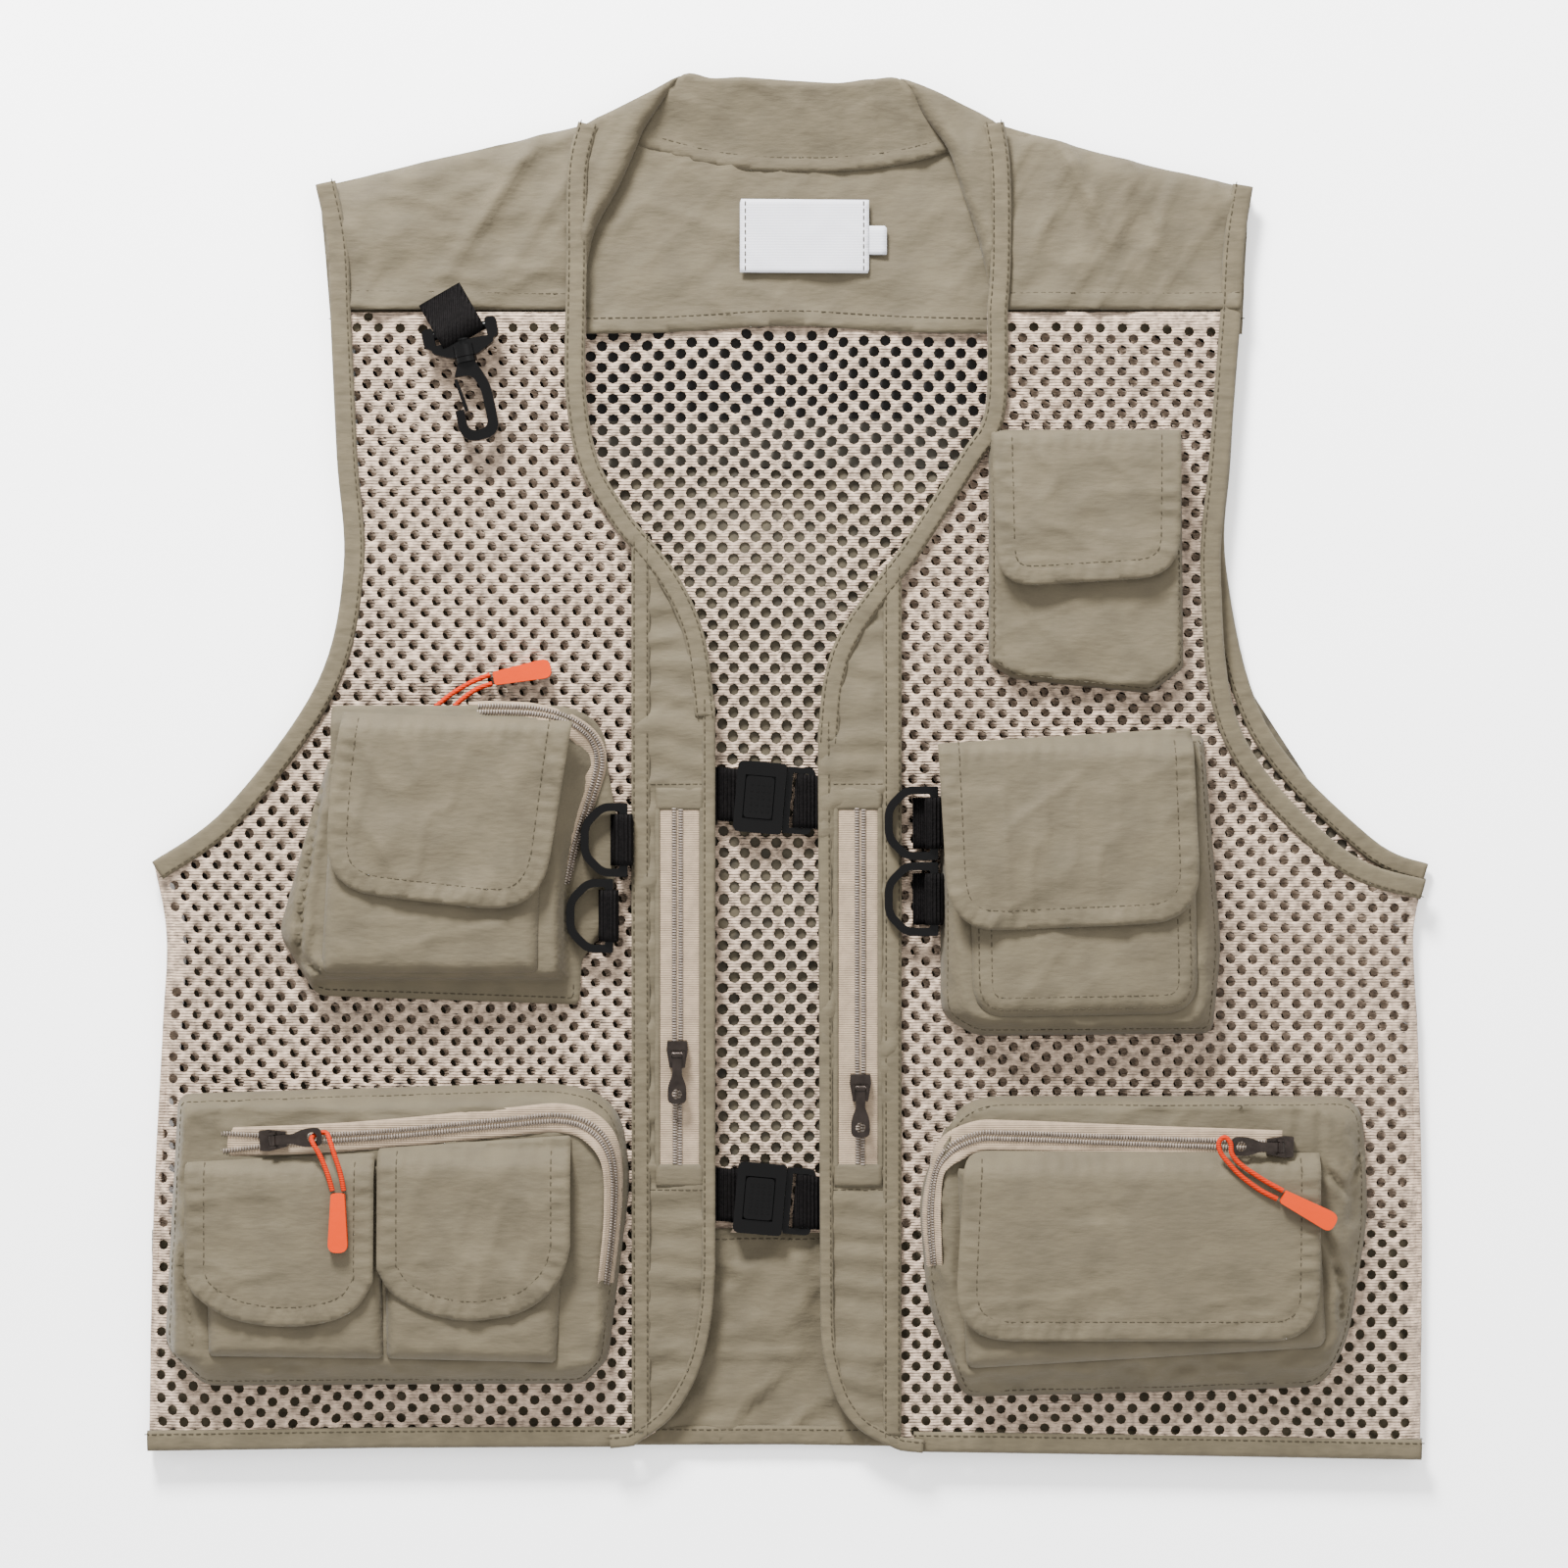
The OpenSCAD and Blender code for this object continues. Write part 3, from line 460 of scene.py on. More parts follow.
def net(name, outline, height, node, hole=HOLE, half=0, shift=(0, 0)):
    """Mesh fabric: diamond cells, each with a round hole; half -1 or 1 takes those left or right of x = 0."""
    low, high = outline.min(0) - PITCH, outline.max(0) + PITCH
    rows = np.arange(math.floor(low[1] / PITCH * 2), math.ceil(high[1] / PITCH * 2))
    columns = np.arange(math.floor(low[0] / PITCH), math.ceil(high[0] / PITCH))
    centres = np.array([((i + (j % 2) / 2) * PITCH, j * PITCH / 2) for j in rows for i in columns]) + shift
    if half:
        centres = centres[(centres[:, 0] < 0) == (half < 0)]

    def pulled(q, seed):
        x, y = q.T
        return q + np.column_stack([1.6 * noise(x, y, 45, seed), 1.9 * noise(x, y, 38, seed + 1)])

    def kept(q):
        q = pulled(q, 7)
        out = ~inside(q, outline)
        s = measure(q[out], outline)[1]
        ends = np.vstack([outline, outline[:1]])
        run = lengths(ends)
        q[out] = np.column_stack([np.interp(s, run, ends[:, k]) for k in range(2)])
        return q

    moved = pulled(centres, 7 if half else 9)
    near, within = measure(moved, outline)[0], inside(moved, outline)
    taken = within | (near < PITCH * 0.6)
    centres, holed = centres[taken], (within & (near > hole + MARGIN))[taken]
    w = PITCH / 2
    diamond = np.array([(w, 0), (w / 2, w / 2), (0, w), (-w / 2, w / 2),
                        (-w, 0), (-w / 2, -w / 2), (0, -w), (w / 2, -w / 2)])
    ring = np.array(RIM) * hole
    raw, faces = [], []
    for c, open_ in zip(centres, holed):
        n = len(raw)
        raw += (c + diamond).tolist()
        if open_:
            raw += (c + ring).tolist()
            for k in range(8):
                j = (k + 1) % 8
                faces += [(n + k, n + j, n + 8 + j), (n + k, n + 8 + j, n + 8 + k)]
        else:
            raw.append(c.tolist())
            faces += [(n + 8, n + k, n + (k + 1) % 8) for k in range(8)]
    points, same = np.unique(np.round(np.array(raw), 3), axis=0, return_inverse=True)
    triangles = same.ravel()[np.array(faces)]
    points = kept(points)
    points, same = np.unique(np.round(points, 2), axis=0, return_inverse=True)
    triangles = same.ravel()[triangles]
    a, b, c = (points[triangles[:, k]] for k in range(3))
    size = (b[:, 0] - a[:, 0]) * (c[:, 1] - a[:, 1]) - (b[:, 1] - a[:, 1]) * (c[:, 0] - a[:, 0])
    triangles = triangles[size > 0.01]
    used, same = np.unique(triangles, return_inverse=True)
    points, triangles = points[used], same.reshape(-1, 3)
    d, s = measure(points, outline)
    top = height(points, d, s)
    made, sides = thicken(points, triangles, top, top - MESH_T)
    piece = solid(name, made, sides, "mesh", node=node)
    size = (points.max(0) - points.min(0)) * MM


def band(name, path, width, thick, look, body="vest", node=(), across=None, crown=0.0, wave=0.0, seed=1):
    """A strip of that width swept along the middle of its top, over points (x, y, z)."""
    path = np.array(path, float)
    way = unit(np.gradient(path, axis=0))
    if across is None:
        side = unit(np.column_stack([-way[:, 1], way[:, 0], np.zeros(len(way))]))
    else:
        side = np.broadcast_to(np.array(across, float), path.shape)
    up = np.cross(way, side)
    up *= np.sign(up[:, 2:3].sum() or 1) if across is None else 1
    run = lengths(path)
    t = np.linspace(-1, 1, ACROSS)
    ends = np.abs(t) > 0.99
    points = []
    for face in (0, 1):
        for i, p in enumerate(path):
            drop = crown * t**2 + wave * (
                noise(run[i] + t * 2, t * 3 + seed * 40, 5, seed) + np.sin(run[i] * 1.05 + seed))
            level = -drop - thick * (0.22 * ends if face == 0 else 1 - 0.22 * ends)
            points += (p + side[i] * (t * width / 2)[:, None] + up[i] * level[:, None]).tolist()
    m, n = len(path), ACROSS
    under = m * n
    faces = []
    for i in range(m - 1):
        for k in range(n - 1):
            a, b = i * n + k, (i + 1) * n + k
            faces += [(a, b, b + 1, a + 1), (under + a, under + a + 1, under + b + 1, under + b)]
        for k in (0, n - 1):
            a, b = i * n + k, (i + 1) * n + k
            faces.append((a, under + a, under + b, b) if k == 0 else (a, b, under + b, under + a))
    for i in (0, m - 1):
        for k in range(n - 1):
            a = i * n + k
            end = (a, a + 1, under + a + 1, under + a)
            faces.append(end if i == 0 else (a + 1, a, under + a, under + a + 1))
    solid(name, points, faces, look, body, node)


def lift(path, z):
    """Adds a level to each point of a path in the plane."""
    return np.column_stack([path, np.broadcast_to(z, len(path))])


def edging(name, path, width, z, node="edge_bindings", look="binding", rows=(0.82,), side=1, thick=3.0):
    """A folded strip sewn over an edge: path is the edge, and width goes to its left (side 1) or right.
    rows: where its rows of stitches lie, from 0 at the edge to 1."""
    middle = even(offset(np.array(path, float), side * width / 2), 1.6)
    band(name, lift(middle, z), width, thick, look, node=node, crown=0.35, wave=0.12, seed=len(name))
    lines = [offset(middle, side * (share - 0.5) * width) for share in rows]
    if lines:
        thread(name + "_stitches", lines, lambda q: np.full(len(q), z - 0.05))


def pair(name, right, left, width, z, side=1, node=None, **how):
    """The right and the left edging of that name; side is that of the right one."""
    for which, path, way in (("right_", right, side), ("left_", left, -side)):
        edging(which + name, path, width, z, which + node if node else "edge_bindings", side=way, **how)


# ---------- Pull cords ----------


def pull_cord(name, route, node):
    """An orange cord: one loop from its grip through the tab's eye and back."""
    line = bpy.data.curves.new(name, "CURVE")
    line.dimensions = "3D"
    line.bevel_depth, line.bevel_resolution, line.use_fill_caps = CORD_D / 2 * MM, 4, True
    points = curve(route, 6)
    spline = line.splines.new("POLY")
    spline.points.add(len(points) - 1)
    for at, p in zip(spline.points, points * MM):
        at.co = (*p, 1)
    line.materials.append(looks["orange_cord"])
    piece = bpy.data.objects.new(name, line)
    bpy.context.scene.collection.objects.link(piece)
    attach(piece, body_of(nodes[node])[0])
    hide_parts(node)


pull_cord("right_mid_pull_cord",
          [(-133, 38, 13), (-140, 35.4, 13.6), (-147.4, 30, 15.4), (-153, 23.6, 17.8), (-157, 20.4, 19),
           (-160, 21.8, 19.4), (-160.6, 25, 19), (-157.4, 28, 18), (-150.8, 33.4, 15.4), (-142.6, 38.4, 13.8),
           (-134, 42, 13)],
          "right_mid_cord")
pull_cord("right_cargo_pull_cord",
          [(-202, -187, 38.6), (-204.4, -179, 38.4), (-207.6, -171.4, 38), (-210.6, -166.4, 37.4),
           (-211.6, -163.8, 35.1), (-209.2, -162.2, 32.8), (-205.4, -161.8, 33), (-203.6, -164.4, 36),
           (-201.6, -170, 38), (-198.6, -179, 38.4), (-197, -187, 38.6)],
          "right_cargo_cord")
pull_cord("left_cargo_pull_cord",
          [(216, -190.6, 38.6), (208, -186.4, 38.4), (200, -180.4, 38.2), (194.8, -175, 38), (191, -170, 37.8),
           (190.4, -165.4, 37.6), (193, -163.4, 37.8), (195.4, -166, 38), (196, -170.6, 38.2), (199.4, -175, 38.2),
           (205.6, -179.4, 38.2), (211.6, -183.2, 38.4), (218.6, -187, 38.6)],
          "left_cargo_cord")

# ---------- Outline curves of the garment ----------

RIGHT_ARM = curve([(-206, 205), (-203, 140), (-200, 90), (-212, 38), (-252, -17), (-286, -42)])
LEFT_ARM = curve([(203, 205), (198, 140), (194, 84), (204, 15), (249, -36), (286, -50)])
LEFT_ARM_BACK = curve([(203, 205), (199, 140), (197, 90), (215, 20), (262, -31), (288, -43)])
RIGHT_SIDE = curve([(-286, -42), (-280, -75), (-282, -120), (-286, -200), (-288, -306)])
LEFT_SIDE = curve([(286, -50), (281, -75), (283, -120), (285, -200), (284, -310)])
RIGHT_SHOULDER = curve([(-211, 262), (-150, 276), (-90, 290)])
LEFT_SHOULDER = curve([(90, 291), (147, 275), (207, 261)])
RIGHT_NECK = curve([(-91, 205), (-91, 168), (-85, 137), (-70, 112)])
LEFT_NECK = curve([(89, 205), (88, 161), (77, 141), (50, 99)])
RIGHT_LAPEL = curve([(-70, 112), (-50, 87), (-38, 60), (-33, 24)])
LEFT_LAPEL = curve([(50, 99), (25, 65), (16, 42), (13, 13)])
RIGHT_CORNER = curve([(-33, -225), (-34.6, -246), (-38.6, -265), (-45, -280), (-54, -292.5), (-70, -304)])
LEFT_CORNER = curve([(14, -232), (14.6, -256), (17.6, -272), (23.6, -287), (33.6, -298), (50, -306)])
BACK_SEAM, LOWER_BAND = 197.0, -207.0


def back_level(q, d=None, s=None):
    x, y = q.T
    folds = 0.9 * noise(x, y, 52, 3) + 0.5 * noise(x, y, 22, 4) + 0.9 * creases(x, y, 80, 22, 8, 6)
    under_yoke = ((y - BACK_SEAM + 14) / 14).clip(0, 1)
    return 2.6 + folds.clip(-1.3, 0.4) * (1 - under_yoke)


def side_gap(q):
    """How far a point is from the side seams and shoulders, where front and back meet."""
    gap = np.full(len(q), 1e3)
    for path in (RIGHT_SIDE, LEFT_SIDE, RIGHT_SHOULDER, LEFT_SHOULDER):
        gap = np.minimum(gap, measure(q, path, closed=False)[0])
    return gap


def front_level(q, d=None, s=None):
    """Top of the front panels: it lies in soft folds, and comes down to the back at the seams."""
    x, y = q.T
    folds = 1.0 * noise(x, y, 62, 11) + 0.7 * noise(x, y, 27, 12) + 1.3 * creases(x, y, 90, 30, 62, 13)
    folds += 0.55 * noise(x, y, 8, 14) + 0.7 * creases(x, y, 30, 12, 20, 15)
    return FRONT_TOP + 0.3 - 1.1 * (1.4 - folds).clip(0, 3.4) - 4.6 * np.exp(-side_gap(q) / 5)


# ---------- Back ----------

back_outline = np.vstack([
    [(-206, BACK_SEAM + 3)], RIGHT_ARM[RIGHT_ARM[:, 1] < BACK_SEAM],
    RIGHT_SIDE[RIGHT_SIDE[:, 1] > LOWER_BAND], [(-285.6, LOWER_BAND - 2), (283.6, LOWER_BAND - 2)],
    LEFT_SIDE[LEFT_SIDE[:, 1] > LOWER_BAND][::-1], LEFT_ARM_BACK[LEFT_ARM_BACK[:, 1] < BACK_SEAM][::-1],
    [(203, BACK_SEAM + 3)]])
for side, half in (("right", -1), ("left", 1)):
    net("back_mesh_" + side, back_outline, back_level, "back_mesh", BACK_HOLE, half)


def flat_level(z, seed, amount=0.5):
    return lambda q, d, s: z + rumple(*q.T, seed, amount) - 0.4 * amount


# The back pocket panel is drawn in the painted shade cloth: darker olive in place of the shade under the mesh
cloth("back_game_pocket", rounded([(-188, 135, 12), (188, 135, 12), (192, 60, 20), (270, -60, 20), (278, -302, 12),
                                   (-280, -302, 12), (-270, -60, 20), (-192, 60, 20)])[::-1],
      flat_level(1.0, 5, 0.25), 0.9, 6, look="painted_shade_cloth", node="back_pocket_panel")
cloth("back_lower_band", np.array([(-287, -304), (0, -304), (284, -308), (285, LOWER_BAND), (-287, LOWER_BAND)]),
      lambda q, d, s: 3.2 + rumple(*q.T, 8, 3.4).clip(-2, 1.6), 1.2, 3, node="back_pocket_panel",
      seams=[even([(-286, LOWER_BAND - 5), (284, LOWER_BAND - 5)], 2)])


def yoke_back_level(q, d, s):
    x, y = q.T
    seam = BACK_SEAM + 3.5 * bell(x / 45)
    hem = doubled(y - seam - 6.5, 0.55)
    return 4.3 + hem + rumple(x, y, 21, 1.4).clip(-1, 3) - 0.3 * bell((y - seam - 7) / 0.9)


seam_x = np.linspace(204, -206, 60)
back_seam_line = np.column_stack([seam_x, BACK_SEAM - 1.5 + 3.5 * bell(seam_x / 45)])
cloth("back_yoke_cloth", np.vstack([
    back_seam_line, [(-211, 261)], RIGHT_SHOULDER, [(-66, 292), (0, 290), (66, 292)], LEFT_SHOULDER,
    [(207, 260)]]),
      yoke_back_level, 1.2, 3, node="back_yoke", seams=[offset(back_seam_line, -7)])

# ---------- Fronts ----------

right_front = np.vstack([RIGHT_ARM, RIGHT_SIDE, [(-70, -304), (-60, -298), (-60, 90)], RIGHT_NECK[::-1]])
left_front = np.vstack([LEFT_ARM, LEFT_SIDE, [(50, -306), (40, -298), (40, 90)], LEFT_NECK[::-1]])
net("right_front_net", right_front, front_level, "right_front_mesh", shift=FRONT_SHIFT)
net("left_front_net", left_front[::-1], front_level, "left_front_mesh", shift=FRONT_SHIFT)


YOKE_HEM = 214


def front_yoke_level(seed, slope):
    """Top of a front yoke: folds with that slope come down from the shoulder to the stitched hem."""
    def level(q, d, s):
        x, y = q.T
        hem = doubled(y - 213.6, 0.6)
        run = x - slope * (y - 226) + (151 if slope > 0 else -150)
        ridge = 3.2 * bell(run / 4.5) + 1.8 * bell((run - 26) / 4)
        folds = ridge * ((y - YOKE_HEM) / 30).clip(0, 1)
        sewn = 0.3 * bell((y - YOKE_HEM) / 0.9)
        return 9.8 + hem + folds + rumple(x, y, seed, 2.2) - 4.6 * np.exp(-side_gap(q) / 6) - sewn

    return level


cloth("right_front_yoke",
      np.vstack([[(-92, 206), (-90, 288)], RIGHT_SHOULDER[::-1], [(-210, 250), (-205.5, 206)]]),
      front_yoke_level(31, 0.66), 1.2, 2.6, node="front_yokes", seams=[[(-203, 214.6), (-95, 213)]])
cloth("left_front_yoke",
      np.vstack([[(202.5, 206), (206, 250)], LEFT_SHOULDER[::-1], [(90, 288), (90, 206)]]),
      front_yoke_level(33, -0.5), 1.2, 2.6, node="front_yokes", seams=[[(94, 213.5), (201, 213.5)]])

# ---------- Collar ----------

NECK_SEAM = curve([(-70, 281), (-42.4, 273), (-13.7, 269), (27.6, 269), (54.6, 272.6), (74, 278)])


def collar_back_level(q, d, s):
    x, y = q.T
    off = measure(q, NECK_SEAM, closed=False)[0]
    rise = (off / 38).clip(0, 1)
    hem = doubled(off - 6, 0.5)
    waves = 1.1 * rise * noise(x, y * 0.25, 13, 41)
    return 5.2 + 6.5 * rise**1.3 + waves + rumple(x, y, 42, 1.3) + hem - 0.3 * bell((off - 6.4) / 0.8)


COLLAR_TOP = curve([(64, 292), (51, 308.6), (36, 309.2), (20, 307.6), (2, 308.6), (-20, 310), (-34, 309.6),
                    (-49, 310.6), (-66, 288)])
cloth("collar_back", np.vstack([NECK_SEAM, COLLAR_TOP]), collar_back_level, 1.6, 2.4, node="collar_band",
      seams=[offset(NECK_SEAM[4:-4], 6.4)])
RIGHT_FOLD = curve([(-91.4, 220), (-87.3, 241), (-76.6, 261), (-68.5, 279), (-64, 289), (-48.8, 311)])
LEFT_FOLD = curve([(50, 310), (61.7, 292), (71.6, 277.5), (77.9, 259), (85.1, 237.6), (90, 216)])


def collar_side_level(fold, seed):
    def level(q, d, s):
        off = measure(q, fold, closed=False)[0]
        x, y = q.T
        roll = 11.6 + 1.6 * bell((off - 5) / 5) - 2.6 * np.exp(-off / 1.6)
        return roll + rumple(x, y, seed, 1.3) + 0.8 * creases(x, y, 40, 7, 60 if seed % 2 else 120, seed)

    return level


cloth("collar_right", np.vstack([RIGHT_FOLD, [(-62, 303.6), (-86, 292), (-93, 288), (-93, 240)]]),
      collar_side_level(RIGHT_FOLD, 51), 2.4, 2, node="collar_band")
cloth("collar_left", np.vstack([LEFT_FOLD, [(93, 240), (93, 290), (86, 294), (66, 304)]]),
      collar_side_level(LEFT_FOLD, 54), 2.4, 2, node="collar_band")

# ---------- Plackets ----------

ZIP_TOP, ZIP_BOTTOM = -18, -178
ZIP_Z, TAPE_T = 11.9, 0.7


def placket_level(zip_x, seed):
    def level(q, d, s):
        x, y = q.T
        out = np.maximum(np.abs(x - zip_x) - 10.2, np.maximum(y - ZIP_TOP, ZIP_BOTTOM - y))
        window = 1 / (1 + np.exp(out * 1.6))
        waves = 0.55 * np.sin(y * 0.45 + 2.4 * noise(x, y, 20, seed)) * (1 - window)
        return PLACKET_TOP + 0.9 - window + rumple(x, y, seed, 1.4) * (1 - 0.8 * window) + waves

    return level


def crossings(x0, x1):
    """Lines of stitches across a placket, above its zip and below it."""
    return [[(x0, y), (x1, y)] for y in (ZIP_TOP + 11, ZIP_BOTTOM - 11)]


cloth("right_placket_cloth", np.vstack([RIGHT_LAPEL, RIGHT_CORNER])[::-1], placket_level(-49, 61), 1.4, 2.2,
      node="right_placket", seams=crossings(-61, -39))
cloth("left_placket_cloth", np.vstack([LEFT_LAPEL, LEFT_CORNER]), placket_level(31, 64), 1.4, 2.2,
      node="left_placket", seams=crossings(21, 41))

# ---------- Edgings ----------

DOUBLE, ARM_ROW, FRONT_ROW = (0.14, 0.86), (0.84,), (0.8,)
ARM_W, BACK_ARM_W, FRONT_W, BAND_W, HEM_W, SEAM_W = 9.2, 8.5, 6, 8.2, 9, 3.4
NECK_Z, HEM_Z, BAND_Z = 13.3, 11, 13.2
right_arm_edge = np.vstack([curve([(-212.6, 262), (-207.4, 236), (-206, 206)]), RIGHT_ARM[1:]])
left_arm_edge = np.vstack([curve([(208.4, 261), (204.6, 236), (203, 206)]), LEFT_ARM[1:]])
pair("armhole_edging", right_arm_edge, left_arm_edge, ARM_W, HEM_Z, rows=ARM_ROW)
pair("armhole_back_edging", RIGHT_ARM, LEFT_ARM_BACK, BACK_ARM_W, 4.2, thick=2.6)
right_shoulder_end = curve([(-85.6, 287.5), (-90.2, 268), (-90.6, 228), (-91, 206)])
left_shoulder_end = curve([(87.4, 288.5), (90.2, 268), (90.4, 228), (89, 206)])
right_neck_edge = np.vstack([right_shoulder_end, RIGHT_NECK[1:], RIGHT_LAPEL[1:]])
left_neck_edge = np.vstack([left_shoulder_end, LEFT_NECK[1:], LEFT_LAPEL[1:]])
pair("neck_edging", right_neck_edge, left_neck_edge, ARM_W, NECK_Z, -1, rows=DOUBLE)
right_edge = np.vstack([[(-33, 30)], [(-33, 24)], RIGHT_CORNER, [(-80, -304.9)]])
left_edge = np.vstack([[(13, 20)], [(13, 13)], LEFT_CORNER, [(60, -307)]])
pair("front_edging", right_edge, left_edge, FRONT_W, NECK_Z, -1, rows=FRONT_ROW)
pair("placket_band", [(-70.6, 104), (-70.6, -50), (-70.4, -298)], [(50.6, 90), (50.6, -50), (50.4, -299)],
     BAND_W, BAND_Z, node="placket", rows=DOUBLE, thick=2)
edging("right_hem_edging", [(-288, -306.4), (-180, -305), (-76, -304.6)], HEM_W, HEM_Z, rows=ARM_ROW)
edging("left_hem_edging", [(56, -306.8), (170, -308.4), (284, -310.4)], HEM_W, HEM_Z, rows=ARM_ROW)
edging("back_hem_edging", [(-287, -305), (0, -304.4), (284, -308.6)], BACK_ARM_W, 4.8)
pair("side_seam", RIGHT_SIDE[6:], LEFT_SIDE[6:], SEAM_W, 5.6, node="front_mesh", look="mesh", rows=(),
     thick=3.4)

# ---------- Label ----------

cloth("neck_label", rounded([(-22, 223), (36, 222.6), (36, 255.6), (-22, 256)]),
      lambda q, d, s: 6.9 + rumple(*q.T, 71, 0.5), 0.4, 2.4, look="label", node="neck_labels",
      seams=[[(x, 225), (x, 254)] for x in (-19.6, 33.6)])
cloth("size_tag", rounded([(34, 231), (44, 231), (44, 244), (34, 244)]),
      lambda q, d, s: 6.5 + 0 * d, 0.35, 2, look="label", node="neck_labels")

# ---------- Zips ----------


def tilted(path, surface):
    """Lays a path on a surface: its points, and how far the strip leans."""
    n = normals(path)
    z = surface(path)
    lean = np.arctan((surface(path - n * 3) - surface(path + n * 3)) / 6)
    return lift(path, z), lean


def leaning(path, lean):
    n = normals(path[:, :2])
    return np.column_stack([n * np.cos(lean)[:, None], -np.sin(lean)])


def tape(name, path, lean, width, node):
    """A zip's tape, which leans with the cloth under it."""
    band(name, path, width, TAPE_T, "zip_tape", node=node, across=leaning(path, lean), wave=0.05)


def teeth(name, path, lean, apart, node):
    """Two rows of coil turns along a path; apart gives how far each row is from the middle."""
    run = lengths(path)
    side = leaning(path, lean)
    points, faces = [], []

    def at(s, values):
        return np.array([np.interp(s, run, values[:, k]) for k in range(3)])

    for row in (-1, 1):
        for s in np.arange(0.5 + (row + 1) * COIL / 4, run[-1], COIL):
            p, v = at(s, path), at(s, side)
            w = at(min(s + 1, run[-1]), path) - at(max(s - 1, 0), path)
            w /= np.linalg.norm(w)
            up = np.cross(w, v)
            centre = p + v * row * apart(p) + up * 0.35
            spindle(points, faces, centre, v, 1.2, 0.9, (w * 0.52, up * 0.6, -w * 0.52, -up * 0.6))
    solid(name, points, faces, "zip_coil", node=node)


# The tape and the folded window round each short zip; the coil parts a little above its slider
for side, zip_x, middle, slider_y in (("right", -50, -49, -128), ("left", 32, 31, -143)):
    path = even([(middle, ZIP_BOTTOM - 3), (middle, ZIP_TOP + 3)], 3)
    tape(side + "_placket_tape", lift(path, ZIP_Z), np.zeros(len(path)), 20, "placket_zips")
    for edge, ends, z, width in (
            ("top", [(middle + 10.6, ZIP_TOP + 4.4), (middle - 10.6, ZIP_TOP + 4.4)], 12.9, 10),
            ("bottom", [(middle - 10.6, ZIP_BOTTOM - 4.4), (middle + 10.6, ZIP_BOTTOM - 4.4)], 12.9, 10),
            ("outer", [(middle - 10, ZIP_TOP + 2), (middle - 10, ZIP_BOTTOM - 2)], 12.6, 2.6),
            ("inner", [(middle + 10, ZIP_BOTTOM - 2), (middle + 10, ZIP_TOP + 2)], 12.6, 2.6)):
        band(side + "_window_" + edge, lift(even(ends, 2), z), width, 1.4, "olive_cloth",
             node=side + "_placket", crown=0.4, wave=0.06, seed=len(edge))
    path = even([(zip_x, ZIP_BOTTOM), (zip_x, ZIP_TOP)], 3)
    teeth(side + "_placket_coil", lift(path, ZIP_Z), np.zeros(len(path)),
          lambda p, y=slider_y: 1.15 + 0.3 * (1 / (1 + math.exp((y + 6 - p[1]) * 0.5))), "placket_zips")

# ---------- Pockets ----------


def ease(t):
    """From 0 to 1 with soft ends."""
    t = np.clip(t, 0, 1)
    return t * t * (3 - 2 * t)


def groove(q, line, deep, wide=1.1):
    """A sharp fold along a line, with the cloth swelling on both sides of it."""
    off, along = measure(q, np.array(line, float), closed=False)
    fade = ease(along / 8) * ease((np.linalg.norm(np.diff(line, axis=0), axis=1).sum() - along) / 8 + 0.2)
    return deep * fade * (0.6 * bell((off - 3.2) / 2.6) - bell(off / wide))


def ring_side(x, y):
    """How high the right middle bag stands, from 1 to 0, by the D-rings and at its lower edge."""
    return np.minimum(1 - ease((x + 104) / (5.5 + 15 * ease((y + 58) / 55))), ease((y + 97) / 6))


def bag_level(body, top, seed, crumple=1.0, wall=None, folded=()):
    """A soft bag: its sides rise from the base outline to the front panel, which is a little domed."""
    def level(q, d, s):
        x, y = q.T
        off_body, along = measure(q, body)
        within = inside(q, body)
        out = np.where(within, 0, off_body)
        u = d / np.maximum(d + out, 1e-6)
        rise = np.sin(u * math.pi / 2) ** 0.85
        side = 4 * u * (1 - u)
        if wall is not None:
            right = (x > -105) | ((y < -90) & (x > -212))
            rise = np.where(right, 0.1 * u + 0.9 * np.minimum(wall(x, y), ease(d / 6)), rise)
            side = np.where(right, side * wall(x, y) * 0.4, side)
        wrinkles = 1.8 * noise(x, y, 11, seed) + 2.0 * creases(along, out * 3, 26, 9, 20, seed + 1) - 1.2
        folds = crumple * side * wrinkles
        folds += side * crumple * noise(along, out * 2, 7, seed + 2)
        for line, deep in folded:
            folds += groove(q, line, deep)
        piping = 0.5 * bell(off_body / 1.1)
        dome = np.where(within, 0.7 * (1 - np.exp(-off_body / 14)) + rumple(x, y, seed, 1.3).clip(-2, 0.8), 0)
        return FRONT_TOP + 1.4 + (top - FRONT_TOP - 2.1) * rise + folds + piping + dome
    return level


def pouch(name, base, body, top, node, seed, stitched=3, stitched_below=1e3, **shape):
    line = inner_line(base, stitched)
    cloth(name, base, bag_level(body, top, seed, **shape), 1.4, 2.3, node=node,
          seams=[line[line[:, 1] < stitched_below]])


mid_base = rounded([(-229, -74, 6), (-212, -102, 5), (-94, -106, 3), (-93, -86, 3), (-84, -74, 4), (-78, -50, 6),
                    (-77, -24, 6), (-82, 4, 3), (-207, 4, 2)])
mid_body = rounded([(-208, -91, 3), (-105, -91, 4), (-104, 2.6, 2), (-203, 2.6, 2)])
MID_SHAPE = {"wall": ring_side, "folded": (([(-206, 14), (-212, -26), (-217, -60), (-219, -84)], 4.5),
                                           ([(-219, -84), (-212, -89), (-205, -93)], 4.0))}
pouch("right_mid_pouch", mid_base, mid_body, BAG_TOP, "right_mid_bag", 81, stitched_below=-98, **MID_SHAPE)
cargo_base = rounded([(-280, -260, 8), (-262, -277, 5), (-92, -276, 4), (-81, -265, 4), (-78, -240, 10),
                      (-71, -184, 12), (-76, -146, 20), (-107, -141, 10), (-274, -146, 6)])
cargo_body = rounded([(-273, -262, 3), (-87, -265.6, 3), (-83, -205, 10), (-81, -152, 22), (-268, -151, 8)])
